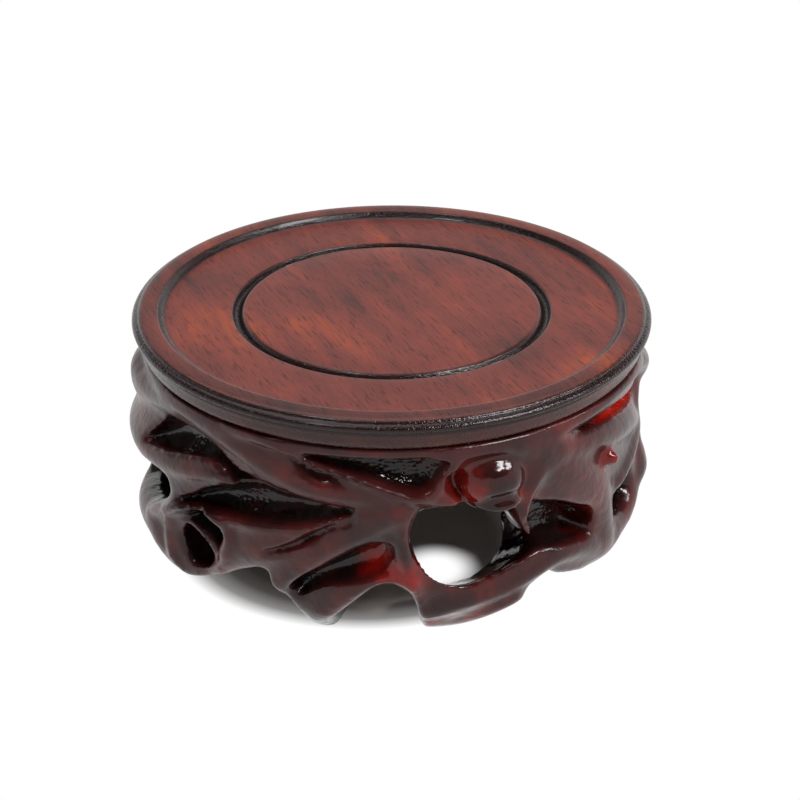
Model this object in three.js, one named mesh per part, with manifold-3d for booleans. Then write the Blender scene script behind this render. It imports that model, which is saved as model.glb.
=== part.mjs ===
// A round display stand of red-lacquered hardwood: a turned top board on an openwork base carved as tangled roots.
// Millimetres, +Z up, origin on the ground at the stand's axis. Angles are in degrees, -90 towards the front.
import * as THREE from 'three';
import { mergeVertices } from 'three/addons/utils/BufferGeometryUtils.js';
import Module from 'manifold-3d';

const wasm = await Module();
wasm.setup();

// Driving dimensions of the whole stand
const STAND_HEIGHT = 48;
const RECESS_DIAMETER = 80;
const RIM_WIDTH = 4.4;

// Top board: a raised rim, a sunk seat, and a turned groove round the seat's middle
const RECESS_DEPTH = 1.2;
const RIM_ROUNDING = 1.1;
const LIP_HEIGHT = 2.3;
const GROOVE_DIAMETER = 54.8;
const GROOVE_WIDTH = 2;
const GROOVE_DEPTH = 1.3;
const WAIST_HEIGHT = 3.1;
const WAIST_INSET = 1;
const WAIST_TAPER = 0.8;

// Root base: the turned blank that the roots are carved from, and the hollow inside it
const SHOULDER_INSET = 1.4;
const COLLAR_HEIGHT = 1.6;
const HOLLOW_DEPTH = 4.4;
const ROOT_SINK = 3;
const TAPER_HEIGHT = 28;
const SIDE_DRAW_IN = 1.5;
const FRONT_DRAW_IN = 5.5;
const BACK_DRAW_IN = 3.5;
const TOE_HEIGHT = 10;
const TOE_RIGHT_DRAW_IN = 6.8;
const TOE_LEFT_DRAW_IN = 5;
const TOE_FRONT_DRAW_IN = 8.5;
const TOE_BACK_DRAW_IN = 5;
const SKIN_DEPTH = 0.5;
const SKIN_MIDDLE = -95;
const SKIN_HALF_WIDTH = 86;
const SKIN_EDGE = 22;
const BORE_RADIUS = 31;
const BORE_MOUTH_RADIUS = 22;
const BORE_MOUTH_HEIGHT = 9;

// Where the blank stands proud of its circle: the middle and half width in degrees, how far in millimetres,
// and the heights in hundredths up to which it is whole and above which it is none
const SWELLS = [
  { angle: -172, halfWidth: 48, proud: 2.7, whole: 70, none: 86 },
  { angle: 0, halfWidth: 28, proud: 1.6, whole: 42, none: 72 },
];

// Blind pegs that pin the board to the base
const PEG_COUNT = 4;
const PEG_DIAMETER = 3;
const PEG_DEPTH_IN_BOARD = 3;
const PEG_DEPTH_IN_BASE = 8;
const PEG_WALL = 3.8;
const FIT_GAP = 0.3;
const FIRST_PEG_ANGLE = 68;

const PLATE_RADIUS = RECESS_DIAMETER / 2 + RIM_WIDTH;
const PLATE_THICKNESS = LIP_HEIGHT + WAIST_HEIGHT;
const BASE_HEIGHT = STAND_HEIGHT - PLATE_THICKNESS;
const SHOULDER_RADIUS = PLATE_RADIUS - SHOULDER_INSET;

const LATHE_STEPS = 64;
const CORE_STEPS = 60;
const CORE_ROWS = [0, 7, 14, 24, 40, 56, 70, 78, 86, 100];
const ROOT_SIDES = 7;
const STEPS_PER_STRETCH = 2;
const OPENING_STEPS = 1.5;
const HOLLOW_STEPS = 1.25;
const ARCH_STEPS = 7;
const LIP_UNDERCUT = -70;

// A scoop's sloping wall takes up this share of its width, and leaves this share of the room inside it free
const SCOOP_SLOPE = 0.7;
const SCOOP_ROOM = 0.8;

// Roots as they were laid out on the blank. Each point of a route is an angle, a height in hundredths of
// the base's height, the root's half width and how far it stands out of the hollows, both in millimetres.
const ROOTS = {
  left_shoulder: [[-186, 84, 4.2, 6], [-176, 86, 4, 6.7], [-168, 86, 3.6, 6], [-158, 89, 3.2, 4.9],
    [-150, 93, 2.8, 4.7], [-142, 95.5, 2.6, 4.6], [-129, 93.5, 2.7, 4.6], [-118, 86.7, 2.9, 4.6],
    [-109, 81.6, 2.6, 4.6], [-101, 79.7, 2.2, 4.6], [-92, 79.2, 2.2, 4.5], [-85, 79, 2, 4.5],
    [-77, 77, 1.8, 4.5]],
  left_strand: [[-186, 62, 3.8, 4.8], [-176, 64, 3.6, 4.8], [-168, 64.5, 3.4, 4.7], [-160, 65, 3, 4.6],
    [-150, 67.5, 2.7, 4.5], [-141, 70.5, 2.2, 4.5], [-133, 73.4, 1.5, 4.5], [-127, 75, 0.9, 4.3],
    [-123, 75.4, 0.5, 4.2]],
  left_foot: [[-190, 22, 3.4, 4.7], [-179, 25, 3.6, 4.8], [-168, 27, 3.8, 4.8], [-160, 27, 4, 4.8],
    [-155, 21, 4.2, 4.8], [-156, 12, 4, 4.6], [-162, 3, 4, 4.4]],
  front_root: [[-88, 72, 2, 4.7], [-94, 66.5, 2.3, 4.8], [-101, 59, 2.5, 5], [-106, 52, 2.7, 5],
    [-111, 43.5, 2.9, 5], [-116, 34, 2.6, 5]],
  front_left_foot: [[-86, 40, 1.6, 4.6], [-93, 42, 1.7, 4.7], [-99, 34.5, 2.3, 4.8], [-104, 26, 2.8, 4.8],
    [-108, 17, 3, 4.8], [-110, 8, 2.8, 4.8], [-110.5, 1, 2.8, 4.8]],
  front_right_foot: [[-83, 23, 2.4, 4.7], [-77, 26, 2.6, 4.8], [-70, 28.5, 2.6, 4.8], [-62, 31, 2.6, 4.8],
    [-56, 34.5, 2.4, 4.8], [-49, 37, 2.2, 4.8], [-41, 35, 2.8, 4.8], [-34, 30, 3.4, 4.8],
    [-27, 23, 4.2, 4.9], [-22, 14, 4.2, 4.7]],
  hanging_tip: [[-57, 82, 2.8, 5], [-59.5, 71, 1.9, 4.9], [-59.5, 63, 1.3, 4.8], [-58.5, 55, 0.6, 4.4]],
  brow: [[-80, 95, 1.8, 4.6], [-70, 97, 2.5, 4.8], [-60, 95, 3.4, 5], [-53, 89, 4.2, 5]],
  right_trunk: [[-60, 95, 4, 4.6], [-51, 80, 5.6, 4.8], [-42, 66, 5.4, 4.8], [-35, 55, 4.8, 4.8],
    [-31, 42, 3.6, 4.8], [-28, 30, 4, 4.8]],
  right_waist_strand: [[-52, 96, 1.6, 4.5], [-39, 98, 1.2, 4.5], [-23, 97.5, 1.2, 4.6], [-10, 92.5, 2, 5],
    [-3, 88, 2.8, 6], [3, 81, 2.8, 5.8]],
  right_flank: [[14, 78, 4, 5.2], [9, 65, 3.6, 4.7], [3, 52, 3.2, 4.7], [-1, 40, 3.2, 4.8],
    [-5, 30, 3.2, 4.8], [-13, 24, 2.8, 4.6], [-22, 24, 3, 4.6]],
  back_right_shoulder: [[2, 84.5, 4, 6.2], [12, 82, 3.4, 5.4], [24, 86, 3, 5], [36, 91, 2.6, 4.8],
    [50, 96, 2.2, 4.6]],
  back_right_strand: [[0, 36, 4.4, 6], [10, 45, 3.5, 5.4], [22, 59, 3.2, 5], [34, 68, 3.4, 5],
    [48, 75, 3.2, 5], [62, 84, 2.8, 4.8], [76, 92, 2.4, 4.6]],
  back_right_foot: [[30, 4, 5, 5], [36, 19, 4.6, 5.2], [44, 33, 4, 5.2], [54, 47, 3.6, 5],
    [66, 59, 3.4, 5], [80, 68, 3.2, 5], [96, 77, 3, 4.8], [112, 87, 2.6, 4.8], [124, 94, 2.2, 4.6]],
  back_foot: [[78, 4, 5.2, 5], [84, 21, 4.8, 5.2], [94, 33, 4.2, 5.2], [106, 45, 3.6, 5],
    [120, 56, 3.4, 5], [134, 66, 3.2, 5], [150, 75, 3.2, 5.2], [164, 80, 3.6, 5.2], [174, 84, 4, 6]],
  back_left_foot: [[124, 4, 5.2, 5], [130, 19, 4.8, 5.2], [140, 31, 4.2, 5.2], [152, 42, 3.6, 5.4],
    [164, 51, 3.4, 4.8], [176, 61, 3.4, 4.8]],
  back_waist: [[36, 98, 1.6, 4.6], [52, 97, 2, 4.8], [70, 97.5, 2.2, 4.8], [88, 98, 1.8, 4.6]],
  back_cross: [[90, 56, 2.6, 4.8], [77, 50, 3, 5], [64, 52, 3, 5], [52, 60, 2.8, 5], [42, 72, 2.4, 4.8]],
  back_fork: [[109, 72, 2.6, 5], [112, 57, 2.8, 5.2], [118, 45, 3, 5.2], [127, 34, 3, 5]],
  back_left_shoulder: [[117, 90, 2.8, 4.8], [134, 85, 3.4, 5], [150, 88, 3.2, 5.2], [166, 94, 2.8, 5]],
  back_left_waist: [[100, 98, 1.8, 4.6], [116, 97.5, 2, 4.8], [136, 97, 2.2, 5], [156, 97.5, 2, 5.2]],
  left_heel: [[160, 8, 4.6, 4.8], [170, 12, 4.4, 4.8], [180, 9, 4.4, 4.6]],
};

// A root cut across, low on the left: a ring round a socket, a curled lip in the socket and a hole beside that
const RING_KNOT = [[-149, 42, 1.4, 4.8], [-146, 50, 1.4, 4.8], [-139, 58, 1.3, 4.8],
  [-132, 57.8, 1.3, 4.8], [-128.5, 49, 1.4, 4.8], [-130, 38, 1.6, 4.9], [-134.5, 26, 1.7, 5],
  [-140.5, 19.5, 1.8, 5], [-148, 18, 1.8, 5], [-150.5, 29, 1.6, 4.9]];
const KNOT_CURL = [[-146, 41, 0.8, 2.6], [-143.5, 42.5, 0.9, 2.8], [-140, 43.6, 1, 2.9],
  [-137, 41.5, 1, 2.9], [-135, 36.5, 1, 2.8], [-137, 28.5, 0.9, 2.4]];
const CURL_HOLE = {
  depth: 9,
  wall: 1.4,
  outline: [[-145.5, 37.5], [-142, 39.5], [-138.8, 37.5], [-137.6, 33], [-139, 28], [-143, 25],
    [-146, 29.5]],
};

// A burl over the large front opening, and the lip along its foot
const BURL = { angle: -68, height: 82.5, width: 5.9, tall: 4.4, rise: 5.6 };
const BURL_LIP = { angle: -67, height: 74.2, width: 4.2, tall: 1.8, rise: 6 };

// Openings right through the wall, and arches that reach below the ground: outlines of angle and height,
// closed by a smooth curve
const OPENINGS = {
  front: [[-86.5, 66], [-84, 72], [-79, 75], [-74, 74], [-70, 70.5], [-63, 70], [-57, 67], [-54, 59],
    [-54, 50], [-58, 44], [-63, 40.5], [-69, 37.5], [-75, 37.5], [-80, 41], [-83, 47], [-85.5, 56]],
  left: [[-149.5, 54], [-150.5, 60], [-154, 63], [-160, 60], [-166, 55], [-173, 51], [-181, 49],
    [-187, 42], [-182, 34], [-173, 30.5], [-165, 34.5], [-158, 40], [-152, 47]],
  right: [[-25, 46], [-24, 53], [-20, 56], [-14, 51], [-9, 42], [-9, 31], [-15, 27], [-21, 32],
    [-24.5, 38]],
  back_right: [[11, 30], [22, 17], [34, 27], [37, 44], [25, 49], [13, 44]],
  back: [[58, 30], [66, 18], [76, 30], [84, 46], [72, 52], [60, 42]],
  back_left: [[101, 30], [110, 17], [123, 27], [131, 44], [119, 49], [105, 40]],
  left_arch: [[-164, -12], [-158, 4], [-150, 11], [-141, 19], [-135, 25], [-130, 29], [-124, 35],
    [-120.5, 37.5], [-118.5, 31], [-116, 26], [-114, 19], [-113.5, 8], [-113.5, -12]],
  middle_arch: [[-107, -12], [-106.5, 8], [-104, 18.5], [-99.5, 27], [-96, 33.5], [-93, 38.5], [-90, 40],
    [-87.5, 37], [-85, 31], [-83.5, 22], [-81.5, 8], [-81, -12]],
  right_arch: [[-68, -12], [-66, 8], [-62, 15], [-58, 20], [-55, 26], [-52, 30.5], [-49.5, 29.5],
    [-46, 25.5], [-39, 20.5], [-33, 13], [-29.5, 4], [-29, -12]],
};

// Arches at the sides and the back: middle angle, half width in degrees and height in hundredths
const ARCHES = [
  { angle: 8, halfWidth: 12, height: 15 },
  { angle: 56, halfWidth: 15, height: 15 },
  { angle: 103, halfWidth: 13, height: 15 },
  { angle: 144, halfWidth: 9, height: 12 },
];

// Hollows scooped into the outer face: an outline, the depth of the floor and the width of its sloping wall
const HOLLOWS = {
  upper_flute: {
    depth: 5,
    wall: 2.6,
    outline: [[-159, 69], [-156, 77], [-150, 85.5], [-142, 88.5], [-135, 88.5], [-131, 86], [-124, 78.7],
      [-117, 76.7], [-109, 75.2], [-103, 73.9], [-97, 72.7], [-103, 71.2], [-112, 70.4], [-119, 71.5],
      [-124, 76.2], [-129, 78.2], [-134, 79], [-142, 75.6], [-150, 71.8]],
  },
  middle_flute: {
    depth: 5,
    wall: 2.6,
    outline: [[-145, 54.3], [-140, 60], [-136, 65], [-130, 70], [-123, 74.8], [-117, 74.6], [-109, 73.6],
      [-98, 72.4], [-103, 68.2], [-109, 64.8], [-115, 62.4], [-122, 60.3], [-130, 58.6], [-138, 56.4]],
  },
  slit_flute: {
    depth: 2.6,
    wall: 2,
    outline: [[-126, 100.5], [-118, 96.6], [-113, 92.6], [-109, 87.5], [-105, 84.6], [-99, 86],
      [-105, 88.8], [-109, 91.4], [-114, 95.2], [-119, 98]],
  },
  rough_hollow: {
    depth: 3.6,
    wall: 2.2,
    outline: [[-109, 94.5], [-100, 96], [-88, 97], [-80, 95.5], [-78, 93], [-80, 87], [-82, 83],
      [-85, 81.5], [-89, 83.5], [-94, 86.5], [-99, 89], [-104, 91.5]],
  },
  lower_flute: {
    depth: 4.6,
    wall: 3,
    outline: [[-90.5, 59], [-96, 57.5], [-101, 52], [-105, 47], [-110, 40.5], [-113.5, 33],
      [-111.5, 28.5], [-106, 35], [-99, 40], [-92, 45], [-89.5, 52]],
  },
  right_pocket: {
    depth: 6.4,
    wall: 2.4,
    outline: [[-62, 60], [-57, 67], [-50, 63.5], [-44, 58], [-39, 53], [-36.5, 45], [-38, 38.5],
      [-46, 41], [-54, 43.5], [-62, 42]],
  },
  knot_socket: {
    depth: 5.4,
    wall: 1.6,
    outline: [[-144.5, 44], [-142, 50], [-138, 54.7], [-133.5, 54.4], [-131, 48.4], [-133, 39.4],
      [-137, 28.9], [-141, 24.5], [-145, 24.5], [-146.5, 32]],
  },
  slot_groove: {
    depth: 4.2,
    wall: 1.6,
    outline: [[-47, 92.8], [-42, 94.5], [-36, 95], [-28, 93.6], [-16, 88], [-8, 83], [-8, 78],
      [-17, 82.5], [-28, 87.5], [-38, 90]],
  },
};

const radians = THREE.MathUtils.degToRad;

function heightAt(share) {
  return (share / 100) * BASE_HEIGHT;
}

function bySide(angle, right, left, front, back) {
  const across = Math.cos(angle);
  const along = Math.sin(angle);
  return (across > 0 ? right : left) * across ** 2 + (along > 0 ? back : front) * along ** 2;
}

function degreesApart(a, b) {
  return Math.abs(THREE.MathUtils.euclideanModulo(a - b + 180, 360) - 180);
}

// The blank that is carved: full at the shoulder, drawn in towards the ground, most of all at the front, and
// with a swell at either side
function blankRadius(angle, height) {
  const drawIn = bySide(angle, SIDE_DRAW_IN, SIDE_DRAW_IN, FRONT_DRAW_IN, BACK_DRAW_IN);
  const rise = THREE.MathUtils.clamp(height / TAPER_HEIGHT, 0, 1);
  const taper = drawIn * (1 - Math.sin((rise * Math.PI) / 2));
  const below = THREE.MathUtils.clamp(1 - height / TOE_HEIGHT, 0, 1);
  const toeDrawIn = bySide(angle, TOE_RIGHT_DRAW_IN, TOE_LEFT_DRAW_IN, TOE_FRONT_DRAW_IN, TOE_BACK_DRAW_IN);
  const toe = toeDrawIn * below ** 1.5;
  const share = (height / BASE_HEIGHT) * 100;
  const swell = SWELLS.reduce((sum, part) => {
    const turned = degreesApart(THREE.MathUtils.radToDeg(angle), part.angle) / part.halfWidth;
    const around = Math.cos((Math.min(turned, 1) * Math.PI) / 2) ** 2;
    return sum + part.proud * around * (1 - THREE.MathUtils.smoothstep(share, part.whole, part.none));
  }, 0);
  return SHOULDER_RADIUS - taper - toe + swell;
}

// How far the face between the roots lies under the blank: shallow at the front, deep at the back
function skinDepth(angle) {
  const turned = degreesApart(THREE.MathUtils.radToDeg(angle), SKIN_MIDDLE);
  const share = THREE.MathUtils.smoothstep(turned, SKIN_HALF_WIDTH, SKIN_HALF_WIDTH + SKIN_EDGE);
  return THREE.MathUtils.lerp(SKIN_DEPTH, HOLLOW_DEPTH, share);
}

function solidOf(geometry) {
  const plain = geometry.clone();
  plain.deleteAttribute('normal');
  plain.deleteAttribute('uv');
  const merged = mergeVertices(plain, 1e-4);
  return new wasm.Manifold(new wasm.Mesh({
    numProp: 3,
    vertProperties: new Float32Array(merged.attributes.position.array),
    triVerts: new Uint32Array(merged.index.array),
  }));
}

function geometryOf(solid) {
  const mesh = solid.getMesh();
  const geometry = new THREE.BufferGeometry();
  geometry.setAttribute('position', new THREE.BufferAttribute(new Float32Array(mesh.vertProperties), 3));
  geometry.setIndex(new THREE.BufferAttribute(new Uint32Array(mesh.triVerts), 1));
  geometry.computeVertexNormals();
  return geometry;
}

// A turned solid: the profile runs up from the axis and back to it, as pairs of radius and height
function turned(profile, steps = LATHE_STEPS) {
  const geometry = new THREE.LatheGeometry(profile.map(([r, z]) => new THREE.Vector2(r, z)), steps);
  geometry.rotateX(Math.PI / 2);
  return geometry;
}

function arcPoints(centreR, centreZ, radius, from, to, steps) {
  return Array.from({ length: steps + 1 }, (_, i) => {
    const turn = radians(THREE.MathUtils.lerp(from, to, i / steps));
    return [centreR + radius * Math.cos(turn), centreZ + radius * Math.sin(turn)];
  });
}

// Top board: waist, lip with a rounded edge, rim, sunk seat and groove with a steep outer wall
function topBoard() {
  const top = STAND_HEIGHT;
  const seat = top - RECESS_DEPTH;
  const lipBottom = top - LIP_HEIGHT;
  const waistTop = PLATE_RADIUS - WAIST_INSET;
  const grooveOuter = GROOVE_DIAMETER / 2;
  const profile = [
    [0, BASE_HEIGHT],
    [waistTop - WAIST_TAPER, BASE_HEIGHT],
    [waistTop - WAIST_TAPER, BASE_HEIGHT + WAIST_HEIGHT / 3],
    [waistTop, lipBottom],
    ...arcPoints(PLATE_RADIUS - RIM_ROUNDING, lipBottom + RIM_ROUNDING, RIM_ROUNDING, LIP_UNDERCUT, 0, 4),
    ...arcPoints(PLATE_RADIUS - RIM_ROUNDING, top - RIM_ROUNDING, RIM_ROUNDING, 0, 90, 5),
    [RECESS_DIAMETER / 2 + RIM_ROUNDING / 2, top],
    [RECESS_DIAMETER / 2, top - RIM_ROUNDING / 2],
    [RECESS_DIAMETER / 2, seat],
    [grooveOuter, seat],
    [grooveOuter, seat - GROOVE_DEPTH],
    ...arcPoints(grooveOuter - GROOVE_WIDTH, seat - GROOVE_DEPTH, GROOVE_DEPTH, 30, 90, 3),
    [0, seat],
  ];
  return turned(profile);
}

// The core: a closed solid from the ground to the top plane, with the face between the roots for its wall
function core() {
  const profile = [[0, 0], ...CORE_ROWS.map((share) => [SHOULDER_RADIUS, heightAt(share)]), [0, BASE_HEIGHT]];
  const geometry = turned(profile, CORE_STEPS);
  const position = geometry.attributes.position;
  for (let i = 0; i < position.count; i += 1) {
    const angle = Math.atan2(position.getY(i), position.getX(i));
    const onTheWall = Math.hypot(position.getX(i), position.getY(i)) > SHOULDER_RADIUS / 2;
    const r = onTheWall ? blankRadius(angle, position.getZ(i)) - skinDepth(angle) : 0;
    position.setXY(i, r * Math.cos(angle), r * Math.sin(angle));
  }
  return geometry;
}

function collar() {
  const bottom = BASE_HEIGHT - COLLAR_HEIGHT;
  const slope = HOLLOW_DEPTH / 2;
  return turned([
    [0, bottom - slope],
    [SHOULDER_RADIUS - HOLLOW_DEPTH, bottom - slope],
    [SHOULDER_RADIUS, bottom],
    [SHOULDER_RADIUS, BASE_HEIGHT],
    [0, BASE_HEIGHT],
  ], CORE_STEPS);
}

// A closed skin over rings of equal length: with closed rings the last joins the first, otherwise both ends are
// capped
function skin(rings, closed = false) {
  const sides = rings[0].length;
  const points = rings.flat();
  const index = [];
  const last = closed ? rings.length : rings.length - 1;
  for (let i = 0; i < last; i += 1) {
    const a = i * sides;
    const b = ((i + 1) % rings.length) * sides;
    for (let j = 0; j < sides; j += 1) {
      const k = (j + 1) % sides;
      index.push(a + j, b + k, b + j, a + j, a + k, b + k);
    }
  }
  if (!closed) {
    for (let j = 1; j < sides - 1; j += 1) {
      const end = (rings.length - 1) * sides;
      index.push(0, j + 1, j, end, end + j, end + j + 1);
    }
  }
  const geometry = new THREE.BufferGeometry().setFromPoints(points);
  geometry.setIndex(index);
  return geometry;
}

// One cross-section of a root: an ellipse whose crown stands at its rise and whose back is sunk in the core
function rootSection(place, heading, scale = 1) {
  const angle = place.angle;
  const thickness = (place.rise + ROOT_SINK) / 2;
  const r = blankRadius(angle, place.height) - HOLLOW_DEPTH + place.rise - thickness;
  const outward = new THREE.Vector3(Math.cos(angle), Math.sin(angle), 0);
  const sideways = new THREE.Vector3(-Math.sin(angle), Math.cos(angle), 0);
  const across = sideways.clone().multiplyScalar(-heading.y).add(new THREE.Vector3(0, 0, heading.x));
  const centre = outward.clone().multiplyScalar(r).setZ(place.height);
  return Array.from({ length: ROOT_SIDES }, (_, i) => {
    const turn = (i / ROOT_SIDES) * 2 * Math.PI;
    return centre.clone()
      .addScaledVector(across, scale * place.halfWidth * Math.cos(turn))
      .addScaledVector(outward, scale * thickness * Math.sin(turn));
  });
}

// A root is swept along a smooth curve through its route, with rounded ends
function root(points, closed = false) {
  const path = new THREE.CatmullRomCurve3(
    points.map(([angle, share]) => new THREE.Vector3(radians(angle) * SHOULDER_RADIUS, heightAt(share), 0)),
    closed,
  );
  const girth = new THREE.CatmullRomCurve3(
    points.map(([, , halfWidth, rise]) => new THREE.Vector3(halfWidth, rise, 0)),
    closed,
  );
  const stretches = closed ? points.length : points.length - 1;
  const steps = stretches * STEPS_PER_STRETCH;
  const placeAt = (t, beyond) => {
    const heading = path.getTangent(t);
    const at = path.getPoint(t).addScaledVector(heading, beyond);
    const size = girth.getPoint(t);
    const place = { angle: at.x / SHOULDER_RADIUS, height: at.y, halfWidth: size.x, rise: size.y };
    return { place, heading };
  };
  const rings = [];
  const addRing = (t, scale = 1, beyond = 0) => {
    const { place, heading } = placeAt(t, beyond);
    rings.push(rootSection(place, heading, scale));
  };
  if (!closed) {
    const reach = points[0][2] * 0.7;
    addRing(0, 0.55, -reach);
  }
  for (let i = 0; i < (closed ? steps : steps + 1); i += 1) {
    addRing(i / steps);
  }
  if (!closed) {
    const reach = points[points.length - 1][2] * 0.7;
    addRing(1, 0.55, reach);
  }
  return skin(rings, closed);
}

function bore() {
  const below = -1;
  return turned([
    [0, below],
    [BORE_MOUTH_RADIUS, below],
    [BORE_MOUTH_RADIUS, 0],
    [BORE_RADIUS, BORE_MOUTH_HEIGHT],
    [BORE_RADIUS, BASE_HEIGHT + 1],
    [0, BASE_HEIGHT + 1],
  ], CORE_STEPS);
}

// A cutter that follows an outline drawn on the wall: the outline is extruded flat, then wrapped round the axis
function wrappedCutter(outline) {
  const inner = BORE_MOUTH_RADIUS - 5;
  const outer = PLATE_RADIUS + 5;
  const shape = new THREE.Shape(outline);
  const geometry = new THREE.ExtrudeGeometry(shape, { depth: outer - inner, bevelEnabled: false, steps: 1 });
  const position = geometry.attributes.position;
  for (let i = 0; i < position.count; i += 1) {
    const angle = radians(position.getX(i));
    const height = position.getY(i);
    const r = inner + position.getZ(i);
    position.setXYZ(i, r * Math.cos(angle), r * Math.sin(angle), height);
  }
  return geometry;
}

function smoothOutline(points, perPoint) {
  const corners = points.map(([angle, share]) => new THREE.Vector3(angle, heightAt(share), 0));
  const curve = new THREE.CatmullRomCurve3(corners, true);
  const count = Math.round(points.length * perPoint);
  return Array.from({ length: count }, (_, i) => {
    const at = curve.getPoint(i / count);
    return new THREE.Vector2(at.x, at.y);
  });
}

function openingCutter(points) {
  return wrappedCutter(smoothOutline(points, OPENING_STEPS));
}

// How far an outline's corner can move inwards before it meets the other side, halved
function roomInside(outline, i, inward) {
  const start = outline[i];
  let nearest = Infinity;
  for (let j = 0; j < outline.length; j += 1) {
    const a = outline[j];
    const b = outline[(j + 1) % outline.length];
    const edge = b.clone().sub(a);
    const across = inward.cross(edge);
    const toEdge = a.clone().sub(start);
    const along = toEdge.cross(edge) / across;
    const share = toEdge.cross(inward) / across;
    if (a !== start && b !== start && along > 0 && share >= 0 && share <= 1) {
      nearest = Math.min(nearest, along);
    }
  }
  return nearest / 2;
}

// A scoop: its wall slopes from the outline to a smaller outline on the floor, both laid along the blank
function hollowCutter({ depth, wall, outline: points }) {
  const smooth = smoothOutline(points, HOLLOW_STEPS);
  const flat = smooth.map((p) => new THREE.Vector2(radians(p.x) * SHOULDER_RADIUS, p.y));
  const outline = THREE.ShapeUtils.isClockWise(flat) ? flat.reverse() : flat;
  const rim = [];
  const edge = [];
  const floor = [];
  outline.forEach((point, i) => {
    const before = outline[(i + outline.length - 1) % outline.length];
    const after = outline[(i + 1) % outline.length];
    const heading = after.clone().sub(before).normalize();
    const inward = new THREE.Vector2(-heading.y, heading.x);
    const inset = Math.min(wall * SCOOP_SLOPE, roomInside(outline, i, inward) * SCOOP_ROOM);
    const share = Math.min(inset / wall, 1);
    const inner = point.clone().addScaledVector(inward, inset);
    rim.push(laid(point, PLATE_RADIUS - SHOULDER_RADIUS + RIM_WIDTH));
    edge.push(laid(point, 0));
    floor.push(laid(inner, -depth * Math.sqrt(1 - (1 - share) ** 2)));
  });
  const sides = outline.length;
  const index = [];
  for (let level = 0; level < 2; level += 1) {
    for (let i = 0; i < sides; i += 1) {
      const a = level * sides + i;
      const b = level * sides + ((i + 1) % sides);
      index.push(a, a + sides, b, b, a + sides, b + sides);
    }
  }
  for (const [a, b, c] of THREE.ShapeUtils.triangulateShape(outline, [])) {
    index.push(a, b, c, 2 * sides + a, 2 * sides + c, 2 * sides + b);
  }
  const geometry = new THREE.BufferGeometry().setFromPoints([...rim, ...edge, ...floor]);
  geometry.setIndex(index);
  return geometry;
}

// A place of the unrolled wall, in millimetres round and up, set on the blank and moved out by some millimetres
function laid(place, proud) {
  const angle = place.x / SHOULDER_RADIUS;
  const r = blankRadius(angle, place.y) + proud;
  return new THREE.Vector3(r * Math.cos(angle), r * Math.sin(angle), place.y);
}

function archCutter({ angle, halfWidth, height }) {
  const below = -1;
  const steps = ARCH_STEPS;
  const outline = Array.from({ length: steps + 1 }, (_, i) => {
    const turn = (i / steps) * Math.PI;
    return new THREE.Vector2(angle + halfWidth * Math.cos(turn), heightAt(height) * Math.sin(turn) ** 0.8);
  });
  outline.push(new THREE.Vector2(angle - halfWidth, below), new THREE.Vector2(angle + halfWidth, below));
  return wrappedCutter(outline);
}

function onWall(angle, share, proud) {
  const turn = radians(angle);
  const height = heightAt(share);
  const r = blankRadius(turn, height) + proud;
  return new THREE.Vector3(r * Math.cos(turn), r * Math.sin(turn), height);
}

function swelling({ angle, height, width, tall, rise }) {
  const geometry = new THREE.SphereGeometry(1, 14, 9);
  geometry.scale((rise + ROOT_SINK) / 2, width, tall);
  geometry.rotateZ(radians(angle));
  const place = onWall(angle, height, (rise - ROOT_SINK) / 2 - HOLLOW_DEPTH);
  geometry.translate(place.x, place.y, place.z);
  return geometry;
}

function pegPlace(index) {
  const r = BORE_RADIUS + PEG_WALL;
  const angle = radians(FIRST_PEG_ANGLE + (index * 360) / PEG_COUNT);
  return [r * Math.cos(angle), r * Math.sin(angle)];
}

function pegCylinder(index, radius, bottom, top) {
  const geometry = new THREE.CylinderGeometry(radius, radius, top - bottom, 12);
  geometry.rotateX(Math.PI / 2);
  const [x, y] = pegPlace(index);
  geometry.translate(x, y, (top + bottom) / 2);
  return geometry;
}

function belowGround() {
  const geometry = new THREE.BoxGeometry(3 * PLATE_RADIUS, 3 * PLATE_RADIUS, PLATE_RADIUS);
  geometry.translate(0, 0, -PLATE_RADIUS / 2);
  return geometry;
}

function aboveBase() {
  const geometry = new THREE.BoxGeometry(3 * PLATE_RADIUS, 3 * PLATE_RADIUS, PLATE_RADIUS);
  geometry.translate(0, 0, BASE_HEIGHT + PLATE_RADIUS / 2);
  return geometry;
}

// Where roots cross, small bubbles can be shut in between them: those are filled, and every solid body stays
function withoutBubbles(solid) {
  const shells = solid.decompose().filter((shell) => shell.volume() > 0);
  return shells.reduce((whole, shell) => whole.add(shell));
}

// The core is opened first, the roots are joined over it, and then the hollows are scooped
function rootBase() {
  let solid = solidOf(core());
  for (const points of Object.values(OPENINGS)) {
    solid = solid.subtract(solidOf(openingCutter(points)));
  }
  for (const arch of ARCHES) {
    solid = solid.subtract(solidOf(archCutter(arch)));
  }
  for (const points of Object.values(ROOTS)) {
    solid = solid.add(solidOf(root(points)));
  }
  solid = solid.add(solidOf(root(RING_KNOT, true)));
  for (const hollow of Object.values(HOLLOWS)) {
    solid = solid.subtract(solidOf(hollowCutter(hollow)));
  }
  solid = solid.subtract(solidOf(openingCutter(OPENINGS.left_arch)));
  solid = solid.subtract(solidOf(openingCutter(OPENINGS.middle_arch)));
  solid = solid.add(solidOf(root(ROOTS.hanging_tip)));
  solid = solid.add(solidOf(root(KNOT_CURL)));
  solid = solid.subtract(solidOf(hollowCutter(CURL_HOLE)));
  solid = solid.add(solidOf(swelling(BURL)));
  solid = solid.add(solidOf(swelling(BURL_LIP)));
  solid = solid.add(solidOf(collar()));
  solid = solid.subtract(solidOf(bore()));
  solid = solid.subtract(solidOf(belowGround()));
  return withoutBubbles(solid.subtract(solidOf(aboveBase())));
}

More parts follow.
